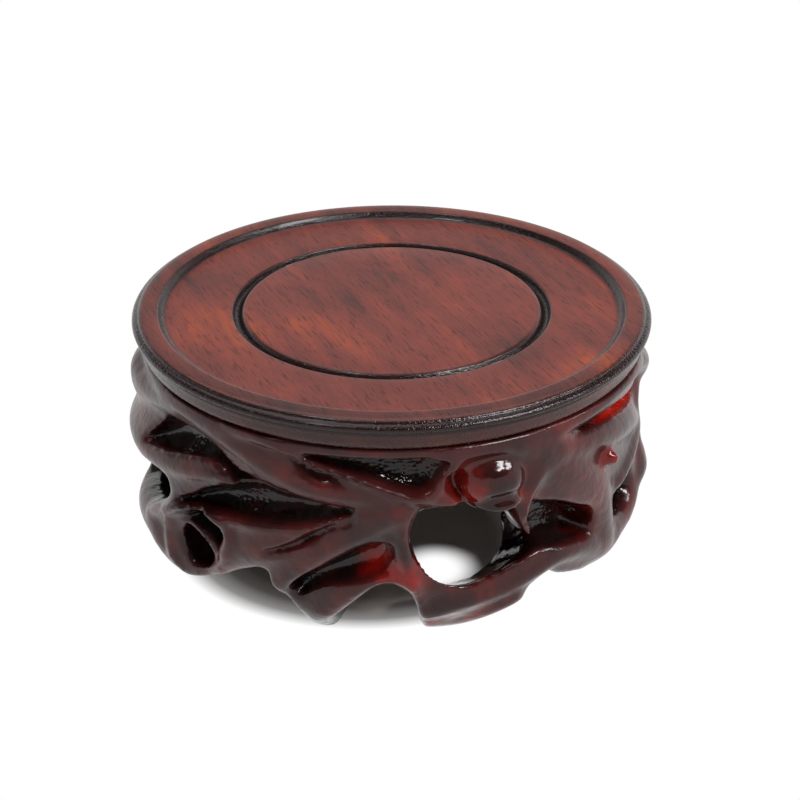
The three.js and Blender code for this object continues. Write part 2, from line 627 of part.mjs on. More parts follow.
const lacquer = new THREE.MeshStandardMaterial({ color: 0x3a1512, roughness: 0.25, metalness: 0 });
const boardLacquer = new THREE.MeshStandardMaterial({ color: 0x9a554a, roughness: 0.45, metalness: 0 });
const pegWood = new THREE.MeshStandardMaterial({ color: 0xb98a5a, roughness: 0.8, metalness: 0 });

function piece(name, geometry, material) {
  const mesh = new THREE.Mesh(geometry, material);
  mesh.name = name;
  return mesh;
}

const stand = new THREE.Group();

const pegHoleTop = BASE_HEIGHT + PEG_DEPTH_IN_BOARD + FIT_GAP;
const pegHoleBottom = BASE_HEIGHT - PEG_DEPTH_IN_BASE - FIT_GAP;
let board = solidOf(topBoard());
let base = rootBase();
for (let i = 0; i < PEG_COUNT; i += 1) {
  const hole = solidOf(pegCylinder(i, PEG_DIAMETER / 2 + FIT_GAP, pegHoleBottom, pegHoleTop));
  board = board.subtract(hole);
  base = base.subtract(hole);
  const peg = pegCylinder(i, PEG_DIAMETER / 2, BASE_HEIGHT - PEG_DEPTH_IN_BASE, BASE_HEIGHT + PEG_DEPTH_IN_BOARD);
  stand.add(piece(`peg_${i + 1}`, peg, pegWood));
}
stand.add(piece('top_board', geometryOf(board), boardLacquer));
stand.add(piece('root_base', geometryOf(base), lacquer));

export default stand;
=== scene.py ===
import math

import bpy
import numpy as np
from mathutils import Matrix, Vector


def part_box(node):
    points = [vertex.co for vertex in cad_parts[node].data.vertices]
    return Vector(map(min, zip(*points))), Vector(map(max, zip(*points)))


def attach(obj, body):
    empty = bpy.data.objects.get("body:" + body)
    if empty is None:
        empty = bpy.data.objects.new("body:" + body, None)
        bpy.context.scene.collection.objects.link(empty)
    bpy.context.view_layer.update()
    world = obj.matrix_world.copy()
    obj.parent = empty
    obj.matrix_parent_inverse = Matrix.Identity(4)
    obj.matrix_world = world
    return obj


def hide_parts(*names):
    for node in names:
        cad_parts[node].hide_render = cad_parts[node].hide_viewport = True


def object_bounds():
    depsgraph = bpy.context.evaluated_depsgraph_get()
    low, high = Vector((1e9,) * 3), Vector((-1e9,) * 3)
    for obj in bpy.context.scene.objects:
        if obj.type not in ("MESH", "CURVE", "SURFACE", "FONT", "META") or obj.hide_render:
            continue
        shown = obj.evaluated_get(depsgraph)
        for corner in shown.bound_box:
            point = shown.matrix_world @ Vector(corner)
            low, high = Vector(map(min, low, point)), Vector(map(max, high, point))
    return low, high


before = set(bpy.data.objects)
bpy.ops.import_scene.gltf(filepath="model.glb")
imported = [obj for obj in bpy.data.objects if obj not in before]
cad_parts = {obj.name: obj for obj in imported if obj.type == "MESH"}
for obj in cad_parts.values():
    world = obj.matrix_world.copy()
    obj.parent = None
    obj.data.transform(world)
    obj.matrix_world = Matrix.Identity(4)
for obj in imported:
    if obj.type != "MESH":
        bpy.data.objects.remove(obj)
cad_low, cad_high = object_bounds()

# The carved base: one block of hardwood, turned to a drum, bored out from below and carved as a tangle
# of roots with flutes, a burl, a ring knot and openings, then stained and lacquered to a deep gloss.
MM = 0.001
BASE_HEIGHT = round(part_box("root_base")[1][2] / MM, 2)
BOARD_RADIUS = round(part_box("top_board")[1][0] / MM, 2)
SHOULDER_INSET = 1.4
SHOULDER_RADIUS = BOARD_RADIUS - SHOULDER_INSET
HOLLOW_DEPTH = 4.4
ROOT_SINK = 3.0
TAPER_HEIGHT = 28.0
SIDE_DRAW_IN = 1.5
FRONT_DRAW_IN = 5.5
BACK_DRAW_IN = 3.5
TOE_HEIGHT = 10.0
TOE_LEFT_DRAW_IN = 5.0
TOE_RIGHT_DRAW_IN = 6.8
TOE_FRONT_DRAW_IN = 8.5
TOE_BACK_DRAW_IN = 5.0

# The skin that covers the front: its depth in mm, and its middle, half width and fading edge in degrees
SKIN_DEPTH = 0.8
SKIN_MIDDLE = -95
SKIN_HALF_WIDTH = 86
SKIN_EDGE = 22

# Where the drum stands proud of the circle: middle and half width in degrees, how far in mm, and the
# heights in hundredths of the base up to which it is whole and above which it is none
SWELLS = [(-172, 48, 2.7, 70, 86), (0, 28, 1.6, 42, 72)]

# In mm: the bore and its mouth, the collar under the board, the radius at which the wall is unrolled, the
# sill's fall for each mm inwards and where it starts, a root's least half width, and a groove's lift
BORE_RADIUS = 31.0
BORE_MOUTH_RADIUS = 22.0
BORE_MOUTH_HEIGHT = 9.0
COLLAR_HEIGHT = 1.6
UNROLLED_RADIUS = 41.0
SILL_FALL = 0.7
SILL_RADIUS = 40.5
THINNEST_ROOT = 0.3
GROOVE_LIFT = 0.4

# How widely the joins and the edges are rounded, in mm
ROOT_BLEND = 1.3
TIP_BLEND = 0.6
CURL_BLEND = 0.5
CUT_BLEND = 0.7
OPENING_BLEND = 1.6
COLLAR_BLEND = 1.2
BORE_BLEND = 0.5

# Each point of a route: angle in degrees, height in hundredths of the base, half width and rise in mm
ROOTS = {
    "left_shoulder": [
        (-186, 84, 4.2, 6), (-176, 86, 4, 6.7), (-168, 86, 3.6, 6), (-158, 89, 3.2, 4.9),
        (-150, 93, 2.8, 4.7), (-142, 95.5, 2.6, 4.6), (-129, 93.5, 2.7, 4.6), (-118, 86.7, 2.9, 4.6),
        (-109, 81.6, 2.6, 4.6), (-101, 79.7, 2.2, 4.6), (-92, 79.2, 2.2, 4.5), (-85, 79, 2, 4.5),
        (-77, 77, 1.8, 4.5)],
    "waist_strand": [
        (-126, 101, 0.9, 4.4), (-118, 98.2, 0.9, 4.6), (-109, 92.4, 0.9, 4.7), (-99, 88, 0.9, 4.7),
        (-89, 82.5, 1, 4.7), (-84, 80.5, 1.2, 4.8), (-80, 84, 1.5, 4.9), (-77, 92, 1.8, 4.9)],
    "left_strand": [
        (-186, 62, 3.8, 4.8), (-176, 64, 3.6, 4.8), (-168, 64.5, 3.4, 4.7), (-160, 65, 3, 4.6),
        (-150, 67.5, 2.7, 4.5), (-141, 70.5, 2.2, 4.5), (-134, 73.4, 1.5, 4.5), (-129, 75, 0.7, 4.3)],
    "sweep_to_knot": [
        (-160, 34, 1.6, 4.6), (-153, 43, 1.4, 4.6), (-146, 50, 1.3, 4.6), (-139, 56, 1.3, 4.7),
        (-130, 57, 1.5, 4.7), (-121, 58.5, 1.6, 4.7), (-112, 62, 1.7, 4.7), (-104, 66, 1.6, 4.7),
        (-97, 70, 1.6, 4.7), (-90, 74, 1.6, 4.7)],
    "left_foot": [
        (-190, 22, 3.4, 4.7), (-179, 25, 3.6, 4.8), (-168, 27, 3.8, 4.8), (-160, 27, 4, 4.8),
        (-155, 21, 4.2, 4.8), (-156, 12, 4, 4.6), (-162, 3, 4, 4.4)],
    "belly": [(-109, 56, 3.2, 4.8), (-116, 51, 4.2, 5), (-123, 46, 4.6, 5), (-129, 40, 3.6, 4.8)],
    "front_root": [
        (-88, 72, 2, 4.7), (-94, 66.5, 2.3, 4.8), (-101, 59, 2.5, 5), (-106, 52, 2.7, 5),
        (-111, 43.5, 2.9, 5), (-116, 34, 2.6, 5)],
    "front_left_foot": [
        (-86, 40, 1.6, 4.6), (-93, 42, 1.7, 4.7), (-99, 34.5, 2.3, 4.8), (-104, 26, 2.8, 4.8),
        (-108, 17, 3, 4.8), (-110, 8, 2.8, 4.8), (-110.5, 1, 2.8, 4.8)],
    "post": [
        (-87, 73, 1.6, 4.5), (-87.5, 60, 1.2, 4.6), (-86.5, 48, 1.2, 4.7), (-84.5, 38, 1.4, 4.8),
        (-83.5, 28, 2, 4.8)],
    "front_right_foot": [
        (-83, 23, 2.4, 4.7), (-77, 26, 2.6, 4.8), (-70, 28.5, 2.6, 4.8), (-62, 31, 2.6, 4.8),
        (-56, 34.5, 2.4, 4.8), (-49, 37, 2.2, 4.8), (-41, 35, 2.8, 4.8), (-34, 30, 3.4, 4.8),
        (-27, 23, 4.2, 4.9), (-22, 14, 4.2, 4.7)],
    "front_right_toe": [
        (-80, 12, 3, 4.7), (-75, 9, 3.2, 4.7), (-71, 10, 3, 4.7), (-66, 17, 2.6, 4.7), (-60, 24, 2.4, 4.7)],
    "hanging_tip": [(-57, 82, 2.8, 5), (-60, 72, 1.7, 4.9), (-60.5, 64, 1.2, 4.8), (-58.5, 55, 0.6, 4.4)],
    "brow": [(-80, 95, 1.8, 4.6), (-70, 97, 2.5, 4.8), (-60, 95, 3.4, 5), (-53, 89, 4.2, 5)],
    "right_trunk": [
        (-60, 95, 4, 4.6), (-51, 80, 5.6, 4.8), (-42, 66, 5.4, 4.8), (-35, 55, 4.8, 4.8),
        (-31, 42, 3.6, 4.8), (-28, 30, 4, 4.8)],
    "right_waist_strand": [
        (-52, 96, 1.6, 4.5), (-39, 98, 1.2, 4.5), (-23, 97.5, 1.2, 4.6), (-10, 92.5, 2, 5),
        (-3, 88, 2.8, 6), (3, 81, 2.8, 5.8)],
    "right_shoulder": [
        (-50, 87, 2.4, 4.6), (-40, 83, 3, 4.7), (-28, 78, 3.2, 4.7), (-16, 72, 3, 4.7), (-8, 66, 2.6, 4.6)],
    "right_flank": [
        (14, 78, 4, 5.2), (9, 65, 3.6, 4.7), (3, 52, 3.2, 4.7), (-1, 40, 3.2, 4.8), (-5, 30, 3.2, 4.8),
        (-13, 24, 2.8, 4.6), (-22, 24, 3, 4.6)],
    "right_strand": [
        (3, 81, 3, 5.4), (-2, 71, 2.4, 4.8), (-6, 62, 2.2, 4.7), (-14, 57, 2, 4.6), (-24, 52, 2, 4.6)],
    "back_right_shoulder": [
        (2, 84.5, 4, 6.2), (12, 82, 3.4, 5.4), (24, 86, 3, 5), (36, 91, 2.6, 4.8), (50, 96, 2.2, 4.6)],
    "back_right_strand": [
        (0, 36, 4.4, 6), (10, 45, 3.5, 5.4), (22, 59, 3.2, 5), (34, 68, 3.4, 5), (48, 75, 3.2, 5),
        (62, 84, 2.8, 4.8), (76, 92, 2.4, 4.6)],
    "back_right_foot": [
        (30, 4, 5, 5), (36, 19, 4.6, 5.2), (44, 33, 4, 5.2), (54, 47, 3.6, 5), (66, 59, 3.4, 5),
        (80, 68, 3.2, 5), (96, 77, 3, 4.8), (112, 87, 2.6, 4.8), (124, 94, 2.2, 4.6)],
    "back_foot": [
        (78, 4, 5.2, 5), (84, 21, 4.8, 5.2), (94, 33, 4.2, 5.2), (106, 45, 3.6, 5), (120, 56, 3.4, 5),
        (134, 66, 3.2, 5), (150, 75, 3.2, 5.2), (164, 80, 3.6, 5.2), (174, 84, 4, 6)],
    "back_left_foot": [
        (124, 4, 5.2, 5), (130, 19, 4.8, 5.2), (140, 31, 4.2, 5.2), (152, 42, 3.6, 5.4),
        (164, 51, 3.4, 4.8), (176, 61, 3.4, 4.8)],
    "back_waist": [(36, 98, 1.6, 4.6), (52, 97, 2, 4.8), (70, 97.5, 2.2, 4.8), (88, 98, 1.8, 4.6)],
    "back_cross": [
        (90, 56, 2.6, 4.8), (77, 50, 3, 5), (64, 52, 3, 5), (52, 60, 2.8, 5), (42, 72, 2.4, 4.8)],
    "back_fork": [(109, 72, 2.6, 5), (112, 57, 2.8, 5.2), (118, 45, 3, 5.2), (127, 34, 3, 5)],
    "back_left_shoulder": [(117, 90, 2.8, 4.8), (134, 85, 3.4, 5), (150, 88, 3.2, 5.2), (166, 94, 2.8, 5)],
    "back_left_waist": [(100, 98, 1.8, 4.6), (116, 97.5, 2, 4.8), (136, 97, 2.2, 5), (156, 97.5, 2, 5.2)],
    "left_heel": [(160, 8, 4.6, 4.8), (170, 12, 4.4, 4.8), (180, 9, 4.4, 4.6)],
}

# Openings cut right through the wall: outlines of angle and height, and arches up from the ground
OPENINGS = {
    "front": [
        (-86.5, 66), (-84, 72), (-79, 75), (-74, 74), (-70, 70.5), (-63, 70), (-57, 67), (-54, 59),
        (-54, 50), (-58, 44), (-63, 40.5), (-69, 37.5), (-75, 37.5), (-80, 41), (-83, 47), (-85.5, 56)],
    "left": [
        (-149.5, 54), (-150.5, 60), (-154, 63), (-160, 60), (-166, 55), (-173, 51), (-181, 49), (-187, 42),
        (-182, 34), (-173, 30.5), (-165, 34.5), (-158, 40), (-152, 47)],
    "right": [
        (-25, 46), (-24, 53), (-20, 56), (-14, 51), (-9, 42), (-9, 31), (-15, 27), (-21, 32), (-24.5, 38)],
    "back_right": [(11, 30), (22, 17), (34, 27), (37, 44), (25, 49), (13, 44)],
    "back": [(58, 30), (66, 18), (76, 30), (84, 46), (72, 52), (60, 42)],
    "back_left": [(101, 30), (110, 17), (123, 27), (131, 44), (119, 49), (105, 40)],
}
GROUND_ARCHES = {
    "left": [
        (-164, -12), (-158, 4), (-150, 11), (-141, 19), (-135, 25), (-130, 29), (-124, 35), (-120.5, 37.5),
        (-118.5, 31), (-116, 26), (-114, 19), (-113.5, 8), (-113.5, -12)],
    "middle": [
        (-107, -12), (-106.5, 8), (-104, 18.5), (-99.5, 27), (-96, 33.5), (-93, 38.5), (-90, 40),
        (-87.5, 37), (-85, 31), (-83.5, 22), (-81.5, 8), (-81, -12)],
    "right": [
        (-68, -12), (-66, 8), (-62, 15), (-58, 20), (-55, 26), (-52, 30.5), (-49.5, 29.5), (-46, 25.5),
        (-39, 20.5), (-33, 15), (-26, 12), (-18, 10), (-13.5, 5), (-12.5, -12)],
}
ARCHES = [(8, 12, 15), (56, 15, 15), (103, 13, 15), (144, 9, 12)]

# Hollows scooped into the outer face with a gouge: outline, depth and the width of the scoop's wall in mm
HOLLOWS = {
    "upper_flute": ([
        (-159, 69), (-156, 77), (-150, 85.5), (-142, 88.5), (-135, 88.5), (-131, 86), (-124, 78.7),
        (-117, 76.7), (-109, 75.2), (-103, 73.9), (-97, 72.7), (-103, 71.2), (-112, 70.4), (-119, 71.5),
        (-124, 76.2), (-129, 78.2), (-134, 79), (-142, 75.6), (-150, 71.8)], 5.0, 2.6),
    "middle_flute": ([
        (-145, 54.3), (-140, 60), (-136, 65), (-130, 70), (-123, 74.8), (-117, 74.6), (-109, 73.6),
        (-98, 72.4), (-103, 68.2), (-109, 64.8), (-115, 62.4), (-122, 60.3), (-130, 58.6),
        (-138, 56.4)], 5.0, 2.6),
    "flute_link": ([
        (-128, 80), (-121, 79), (-113, 76), (-106, 73), (-112, 69), (-120, 70), (-127, 74)], 5.0, 2.0),
    "slit_flute": ([
        (-126, 100.5), (-118, 96.6), (-113, 92.6), (-109, 87.5), (-105, 84.6), (-99, 86), (-105, 88.8),
        (-109, 91.4), (-114, 95.2), (-119, 98)], 2.6, 2.0),
    "rough_hollow": ([
        (-109, 94.5), (-100, 96), (-88, 97), (-80, 95.5), (-78, 93), (-80, 87), (-82, 83), (-85, 81.5),
        (-89, 83.5), (-94, 86.5), (-99, 89), (-104, 91.5)], 3.6, 2.2),
    "lower_flute": ([
        (-90.5, 59), (-96, 57.5), (-101, 52), (-105, 47), (-110, 40.5), (-113.5, 33), (-111.5, 28.5),
        (-106, 35), (-99, 40), (-92, 45), (-89.5, 52)], 4.6, 3.0),
    "right_pocket": ([
        (-62, 60), (-57, 67), (-50, 63.5), (-44, 58), (-39, 53), (-36.5, 45), (-38, 38.5), (-46, 41),
        (-54, 43.5), (-62, 42)], 6.4, 2.4),
    "knot_socket": ([
        (-144.5, 44), (-142, 50), (-138, 54.7), (-133.5, 54.4), (-131, 48.4), (-133, 39.4), (-137, 28.9),
        (-141, 24.5), (-145, 24.5), (-146.5, 32)], 5.4, 1.6),
    "slot_groove": ([
        (-47, 90.5), (-42, 91.3), (-36, 91.3), (-28, 90.2), (-16, 86), (-8, 82.5), (-4, 79.5), (-5, 75.5),
        (-10, 76.5), (-17, 79.5), (-28, 84.5), (-38, 87.5)], 4.6, 1.2),
    "burl_shadow": ([(-78, 88), (-74, 89), (-71, 83), (-70, 76.5), (-73, 74.5), (-77.5, 80)], 3.2, 1.6),
}

# Fine grooves along the grain of the carving: angle, height in hundredths, half width and depth in mm
GROOVES = {
    "belly_crease": [
        (-98, 69.5, 0.5, 0.8), (-104, 64, 0.6, 1.4), (-108, 59, 0.7, 1.7), (-112, 54, 0.7, 1.4),
        (-118, 49, 0.5, 0.6)],
    "collar_line": [
        (-112, 99.5, 0.5, 0.5), (-100, 98.4, 0.6, 0.8), (-88, 98.2, 0.6, 0.8), (-78, 98.6, 0.5, 0.5)],
}

RING_KNOT = [
    (-149, 42, 1.4, 4.8), (-146, 50, 1.4, 4.8), (-139, 58, 1.3, 4.8), (-132, 57.8, 1.3, 4.8),
    (-128.5, 49, 1.4, 4.8), (-130, 38, 1.6, 4.9), (-134.5, 26, 1.7, 5), (-140.5, 19.5, 1.8, 5),
    (-148, 18, 1.8, 5), (-150.5, 29, 1.6, 4.9)]
KNOT_CURL = [
    (-146, 41.5, 0.7, 2.8), (-144, 43.8, 0.8, 3.2), (-141, 44, 0.9, 3.4), (-138, 42, 1.1, 3.5),
    (-135.6, 38, 1.3, 3.5), (-134.6, 33, 1.3, 3.4), (-136, 27.5, 1.1, 3)]
CURL_HOLE = ([
    (-146.5, 37.5), (-143.5, 40.5), (-140.8, 38.5), (-139.4, 33), (-140.5, 28), (-143.5, 25),
    (-146.8, 29.5)], 9.0, 1.0)

# Knots that swell out of the wall: angle, height, half width, half height and rise, and then how widely the
# knot is rounded into the wall, with the sizes in mm
KNOTS = {
    "burl": ((-67.5, 82.5, 5.4, 4.6, 7.0), 0.9),
    "burl_lip": ((-66.5, 74.0, 4.6, 1.5, 7.0), 0.5),
    "small_boss": ((-33.5, 71.5, 1.7, 1.9, 6.2), 0.8),
}
BURL_CREASE = (-67.5, 78.0, 5.6, 0.8, 8.0)
CREASE_SINK = -6.0

# The lattice on which the base is worked out: columns round the drum, the cell in mm, the first and last
# level in cells above the ground, and the inner and outer radius in mm
ANGLE_CELLS = 392
CELL = 0.63
LEVEL_RANGE = (-1.5, 71.0)
RADIUS_RANGE = (20.5, 48.0)

# Points on each stretch of a route, and how far in mm round routes, outlines and scoops the field is worked
# out
ROUTE_STEPS = 8
ROUTE_MARGIN = 8
OUTLINE_MARGIN = 5
SCOOP_MARGIN = 4

column_angle = (np.arange(ANGLE_CELLS) * 360 / ANGLE_CELLS - 180).astype(np.float32)
level_height = np.arange(*LEVEL_RANGE, dtype=np.float32) * CELL
shell_radius = np.arange(*RADIUS_RANGE, CELL, dtype=np.float32)


def mixed(a, b, share):
    """Each value of a moved towards b by the share."""
    return a + (b - a) * share


def eased(share):
    """The share held between 0 and 1, rising smoothly: three times its square less twice its cube."""
    share = np.clip(share, 0, 1)
    return share * share * (3 - 2 * share)


def by_side(angle, right, left, front, back):
    """A value for each side of the stand, blended by the squares of the angle's cosine and sine."""
    across = np.cos(np.radians(angle))
    along = np.sin(np.radians(angle))
    return np.where(across > 0, right, left) * across**2 + np.where(along > 0, back, front) * along**2


def blank_radius(angle, height):
    """Radius of the drum that is carved: a circle, less a sine taper and a rounded toe, plus the swells."""
    rise = np.clip(height / TAPER_HEIGHT, 0, 1)
    draw_in = by_side(angle, SIDE_DRAW_IN, SIDE_DRAW_IN, FRONT_DRAW_IN, BACK_DRAW_IN)
    taper = draw_in * (1 - np.sin(rise * math.pi / 2))
    below = np.clip(1 - height / TOE_HEIGHT, 0, 1)
    toe_in = by_side(angle, TOE_RIGHT_DRAW_IN, TOE_LEFT_DRAW_IN, TOE_FRONT_DRAW_IN, TOE_BACK_DRAW_IN)
    toe = toe_in * below**1.5
    radius = SHOULDER_RADIUS - taper - toe
    for middle, half_width, proud, whole, none in SWELLS:
        turned = np.abs((angle - middle + 180) % 360 - 180)
        share = np.cos(np.clip(turned / half_width, 0, 1) * math.pi / 2) ** 2
        radius = radius + proud * share * (1 - eased((height * 100 / BASE_HEIGHT - whole) / (none - whole)))
    return radius


def core_depth(angle):
    """How far the face between the roots lies under the drum: shallow at the front, where the hollows are
    cut one by one, and deep at the back."""
    turned = np.abs((angle - SKIN_MIDDLE + 180) % 360 - 180)
    return mixed(SKIN_DEPTH, HOLLOW_DEPTH, eased((turned - SKIN_HALF_WIDTH) / SKIN_EDGE))


def joined(a, b, blend):
    """Smooth union of two fields: the smaller one, less a rounded fillet where they are nearly alike."""
    share = np.clip(0.5 + 0.5 * (a - b) / blend, 0, 1)
    return mixed(a, b, share) - blend * share * (1 - share)


def cut(a, b, blend):
    """Field a with what lies inside field b taken away, with a rounded edge."""
    return -joined(-a, b, blend)


def smooth_route(points, steps, closed=False):
    """Smooth curve through the points: on each stretch a cubic of its two ends and their neighbours."""
    p = np.array(points, dtype=float)
    if closed:
        p = np.vstack([p, p[:1]])
        ends = (p[-2], p[1])
    else:
        ends = (2 * p[0] - p[1], 2 * p[-1] - p[-2])
    p = np.vstack([ends[0], p, ends[1]])
    t = np.linspace(0, 1, steps, endpoint=False)[None, :, None]
    a, b, c, d = p[:-3, None], p[1:-2, None], p[2:-1, None], p[3:, None]
    square = 2 * a - 5 * b + 4 * c - d
    cube = 3 * b - a - 3 * c + d
    curve = 0.5 * (2 * b + (c - a) * t + square * t**2 + cube * t**3)
    return np.vstack([curve.reshape(-1, p.shape[1]), p[-2:-1]])


def unrolled(angle):
    """Distance round the drum in mm for an angle in degrees."""
    return np.radians(angle) * UNROLLED_RADIUS


def columns_near(middle, reach):
    """Indices of the lattice columns within reach degrees of the middle, and their angles with no jump."""
    turned = (column_angle - middle + 180) % 360 - 180
    near = np.nonzero(np.abs(turned) <= reach)[0]
    return near, turned[near] + middle


def distance_to_route(across, height, route):
    """Distance on the unrolled wall from each place to a route, and the route's other values there.

    On each straight stretch the nearest point is where the place's projection falls, held to its two ends.
    """
    start, step = route[:-1], np.diff(route, axis=0)
    place = np.stack([across.ravel(), height.ravel()], -1)[:, None]
    share = ((place - start[None, :, :2]) * step[None, :, :2]).sum(-1) / (step[:, :2] ** 2).sum(-1)
    share = np.clip(share, 0, 1)
    gap = np.linalg.norm(place - start[None, :, :2] - share[..., None] * step[None, :, :2], axis=-1)
    nearest = gap.argmin(1)
    rows = np.arange(len(nearest))
    values = start[nearest, 2:] + share[rows, nearest][:, None] * step[nearest, 2:]
    return gap[rows, nearest].reshape(across.shape), values.reshape(across.shape + (-1,))


def wall_patch(points, margin):
    """The part of the lattice round a route or outline: its places, and their angles and heights in mm."""
    angles = points[:, 0]
    middle = (angles.min() + angles.max()) / 2
    reach = (angles.max() - angles.min()) / 2 + np.degrees(margin / UNROLLED_RADIUS)
    columns, angle = columns_near(middle, reach)
    low = points[:, 1].min() - margin
    high = points[:, 1].max() + margin
    levels = np.nonzero((level_height >= low) & (level_height <= high))[0]
    angle, height = np.meshgrid(angle, level_height[levels], indexing="ij")
    return np.ix_(columns, levels), angle, height


def route_in_mm(points, closed=False):
    """A route's points with the height turned from hundredths of the base to mm, and then smoothed."""
    route = np.array(points, dtype=float)
    route[:, 1] *= BASE_HEIGHT / 100
    return smooth_route(route, ROUTE_STEPS, closed)


def tube_field(angle, height, route, centre_of):
    """Distance to a tube of elliptical section along a route on the wall, for every radius of the lattice.

    The section's half width lies along the wall, and its half thickness along the radius.
    """
    flat = route.copy()
    flat[:, 0] = unrolled(flat[:, 0])
    gap, values = distance_to_route(unrolled(angle), height, flat)
    half_width = np.maximum(values[..., 0], THINNEST_ROOT)
    centre, thickness = centre_of(values[..., 1], angle, height)
    radial = (shell_radius - centre[..., None]) / thickness[..., None]
    size = np.minimum(half_width, thickness)
    return (np.sqrt((gap / half_width)[..., None] ** 2 + radial**2) - 1) * size[..., None]


def root_centre(rise, angle, height):
    """A root is sunk into the core and stands out of it by its rise."""
    thickness = (rise + ROOT_SINK) / 2
    return blank_radius(angle, height) - HOLLOW_DEPTH + rise - thickness, thickness


def groove_centre(depth, angle, height):
    """A groove is cut from just over the drum's skin down to its depth."""
    return blank_radius(angle, height) + GROOVE_LIFT, depth + GROOVE_LIFT


def add_root(field, points, blend=ROOT_BLEND, closed=False):
    """Joins the tube along a route to the wood."""
    route = route_in_mm(points, closed)
    place, angle, height = wall_patch(route, ROUTE_MARGIN)
    field[place] = joined(field[place], tube_field(angle, height, route, root_centre), blend)


def cut_groove(field, points):
    """Takes the tube along a route out of the wood."""
    route = route_in_mm(points)
    place, angle, height = wall_patch(route, ROUTE_MARGIN)
    field[place] = cut(field[place], tube_field(angle, height, route, groove_centre), CUT_BLEND)


def outline_distance(points, margin):
    """The lattice round an outline, and each place's distance to it, less than 0 inside, where a line out
    to one side crosses the outline an odd number of times."""
    outline = route_in_mm([(a, h, 0, 0) for a, h in points], closed=True)
    place, angle, height = wall_patch(outline, margin)
    flat = outline.copy()
    flat[:, 0] = unrolled(flat[:, 0])
    across = unrolled(angle)
    gap, _ = distance_to_route(across, height, flat)
    x, y = across[..., None], height[..., None]
    x0, y0, x1, y1 = flat[:-1, 0], flat[:-1, 1], flat[1:, 0], flat[1:, 1]
    crossing = (y0 > y) != (y1 > y)
    at = x0 + (y - y0) * (x1 - x0) / np.where(y1 == y0, 1, y1 - y0)
    inside = (crossing & (x < at)).sum(-1) % 2 == 1
    return place, angle, height, np.where(inside, -gap, gap)


def cut_outline(field, points):
    """Takes away a hole with the outline's shape, right through the wall."""
    place, _, _, gap = outline_distance(points, OUTLINE_MARGIN)
    field[place] = cut(field[place], gap[..., None], OPENING_BLEND)


def cut_falling(field, points):
    """Takes away the same hole once more inside the wall, sloping down inwards, so that its sill doesn't
    hide the ground behind it: the outline's distance is read off higher up, the further in a place lies."""
    place, _, height, gap = outline_distance(points, OUTLINE_MARGIN)
    levels = np.arange(len(level_height))
    tall = np.full((len(gap), len(levels)), float(OUTLINE_MARGIN))
    lowest = int(round((height[0, 0] - level_height[0]) / CELL))
    tall[:, lowest:lowest + gap.shape[1]] = gap
    inside = shell_radius < SILL_RADIUS
    rise = (UNROLLED_RADIUS - shell_radius[inside]) * SILL_FALL / CELL
    row = np.clip(levels[:, None] + rise, 0, len(levels) - 1)
    below = np.minimum(row.astype(int), len(levels) - 2)
    place = np.ix_(place[0].ravel(), levels, np.nonzero(inside)[0])
    sloping = mixed(tall[:, below], tall[:, below + 1], row - below)
    field[place] = cut(field[place], sloping, OPENING_BLEND)


def cut_hollow(field, points, depth, wall):
    """Scoops a hollow: from its outline the floor falls as a quarter ellipse, as wide as the wall, to the
    depth."""
    place, angle, height, gap = outline_distance(points, SCOOP_MARGIN)
    near_wall = np.clip(1 + gap / wall, 0, None)[..., None]
    down = np.clip((blank_radius(angle, height)[..., None] - shell_radius) / depth, 0, None)
    scoop = (np.sqrt(near_wall**2 + down**2) - 1) * min(wall, depth)
    field[place] = cut(field[place], scoop, CUT_BLEND)


def cut_arch(field, middle, half_angle, tall):
    """Takes away half an ellipse that stands on the ground, straight through the wall."""
    half_width = unrolled(half_angle)
    tall = tall * BASE_HEIGHT / 100
    corners = np.array([(middle - half_angle, 0), (middle + half_angle, tall)], dtype=float)
    place, angle, height = wall_patch(corners, OUTLINE_MARGIN)
    reach = np.sqrt((unrolled(angle - middle) / half_width) ** 2 + (height / tall) ** 2)
    arch = (reach - 1) * min(half_width, tall)
    field[place] = cut(field[place], arch[..., None], OPENING_BLEND)


def swelling(field, angle, height, half_width, half_height, rise, sunk=ROOT_SINK):
    """An ellipsoid in the wall, from as deep as it is sunk up to its rise: its places and its field."""
    height = height * BASE_HEIGHT / 100
    corners = np.array([(angle, height - half_height), (angle, height + half_height)], dtype=float)
    place, angles, heights = wall_patch(corners, half_width + OUTLINE_MARGIN)
    thickness = (rise + sunk) / 2
    centre = blank_radius(np.array(angle), np.array(height)) - HOLLOW_DEPTH + rise - thickness
    flat = (unrolled(angles - angle) / half_width) ** 2 + ((heights - height) / half_height) ** 2
    radial = (shell_radius - centre) / thickness
    return place, (np.sqrt(flat[..., None] + radial**2) - 1) * min(half_height, thickness)


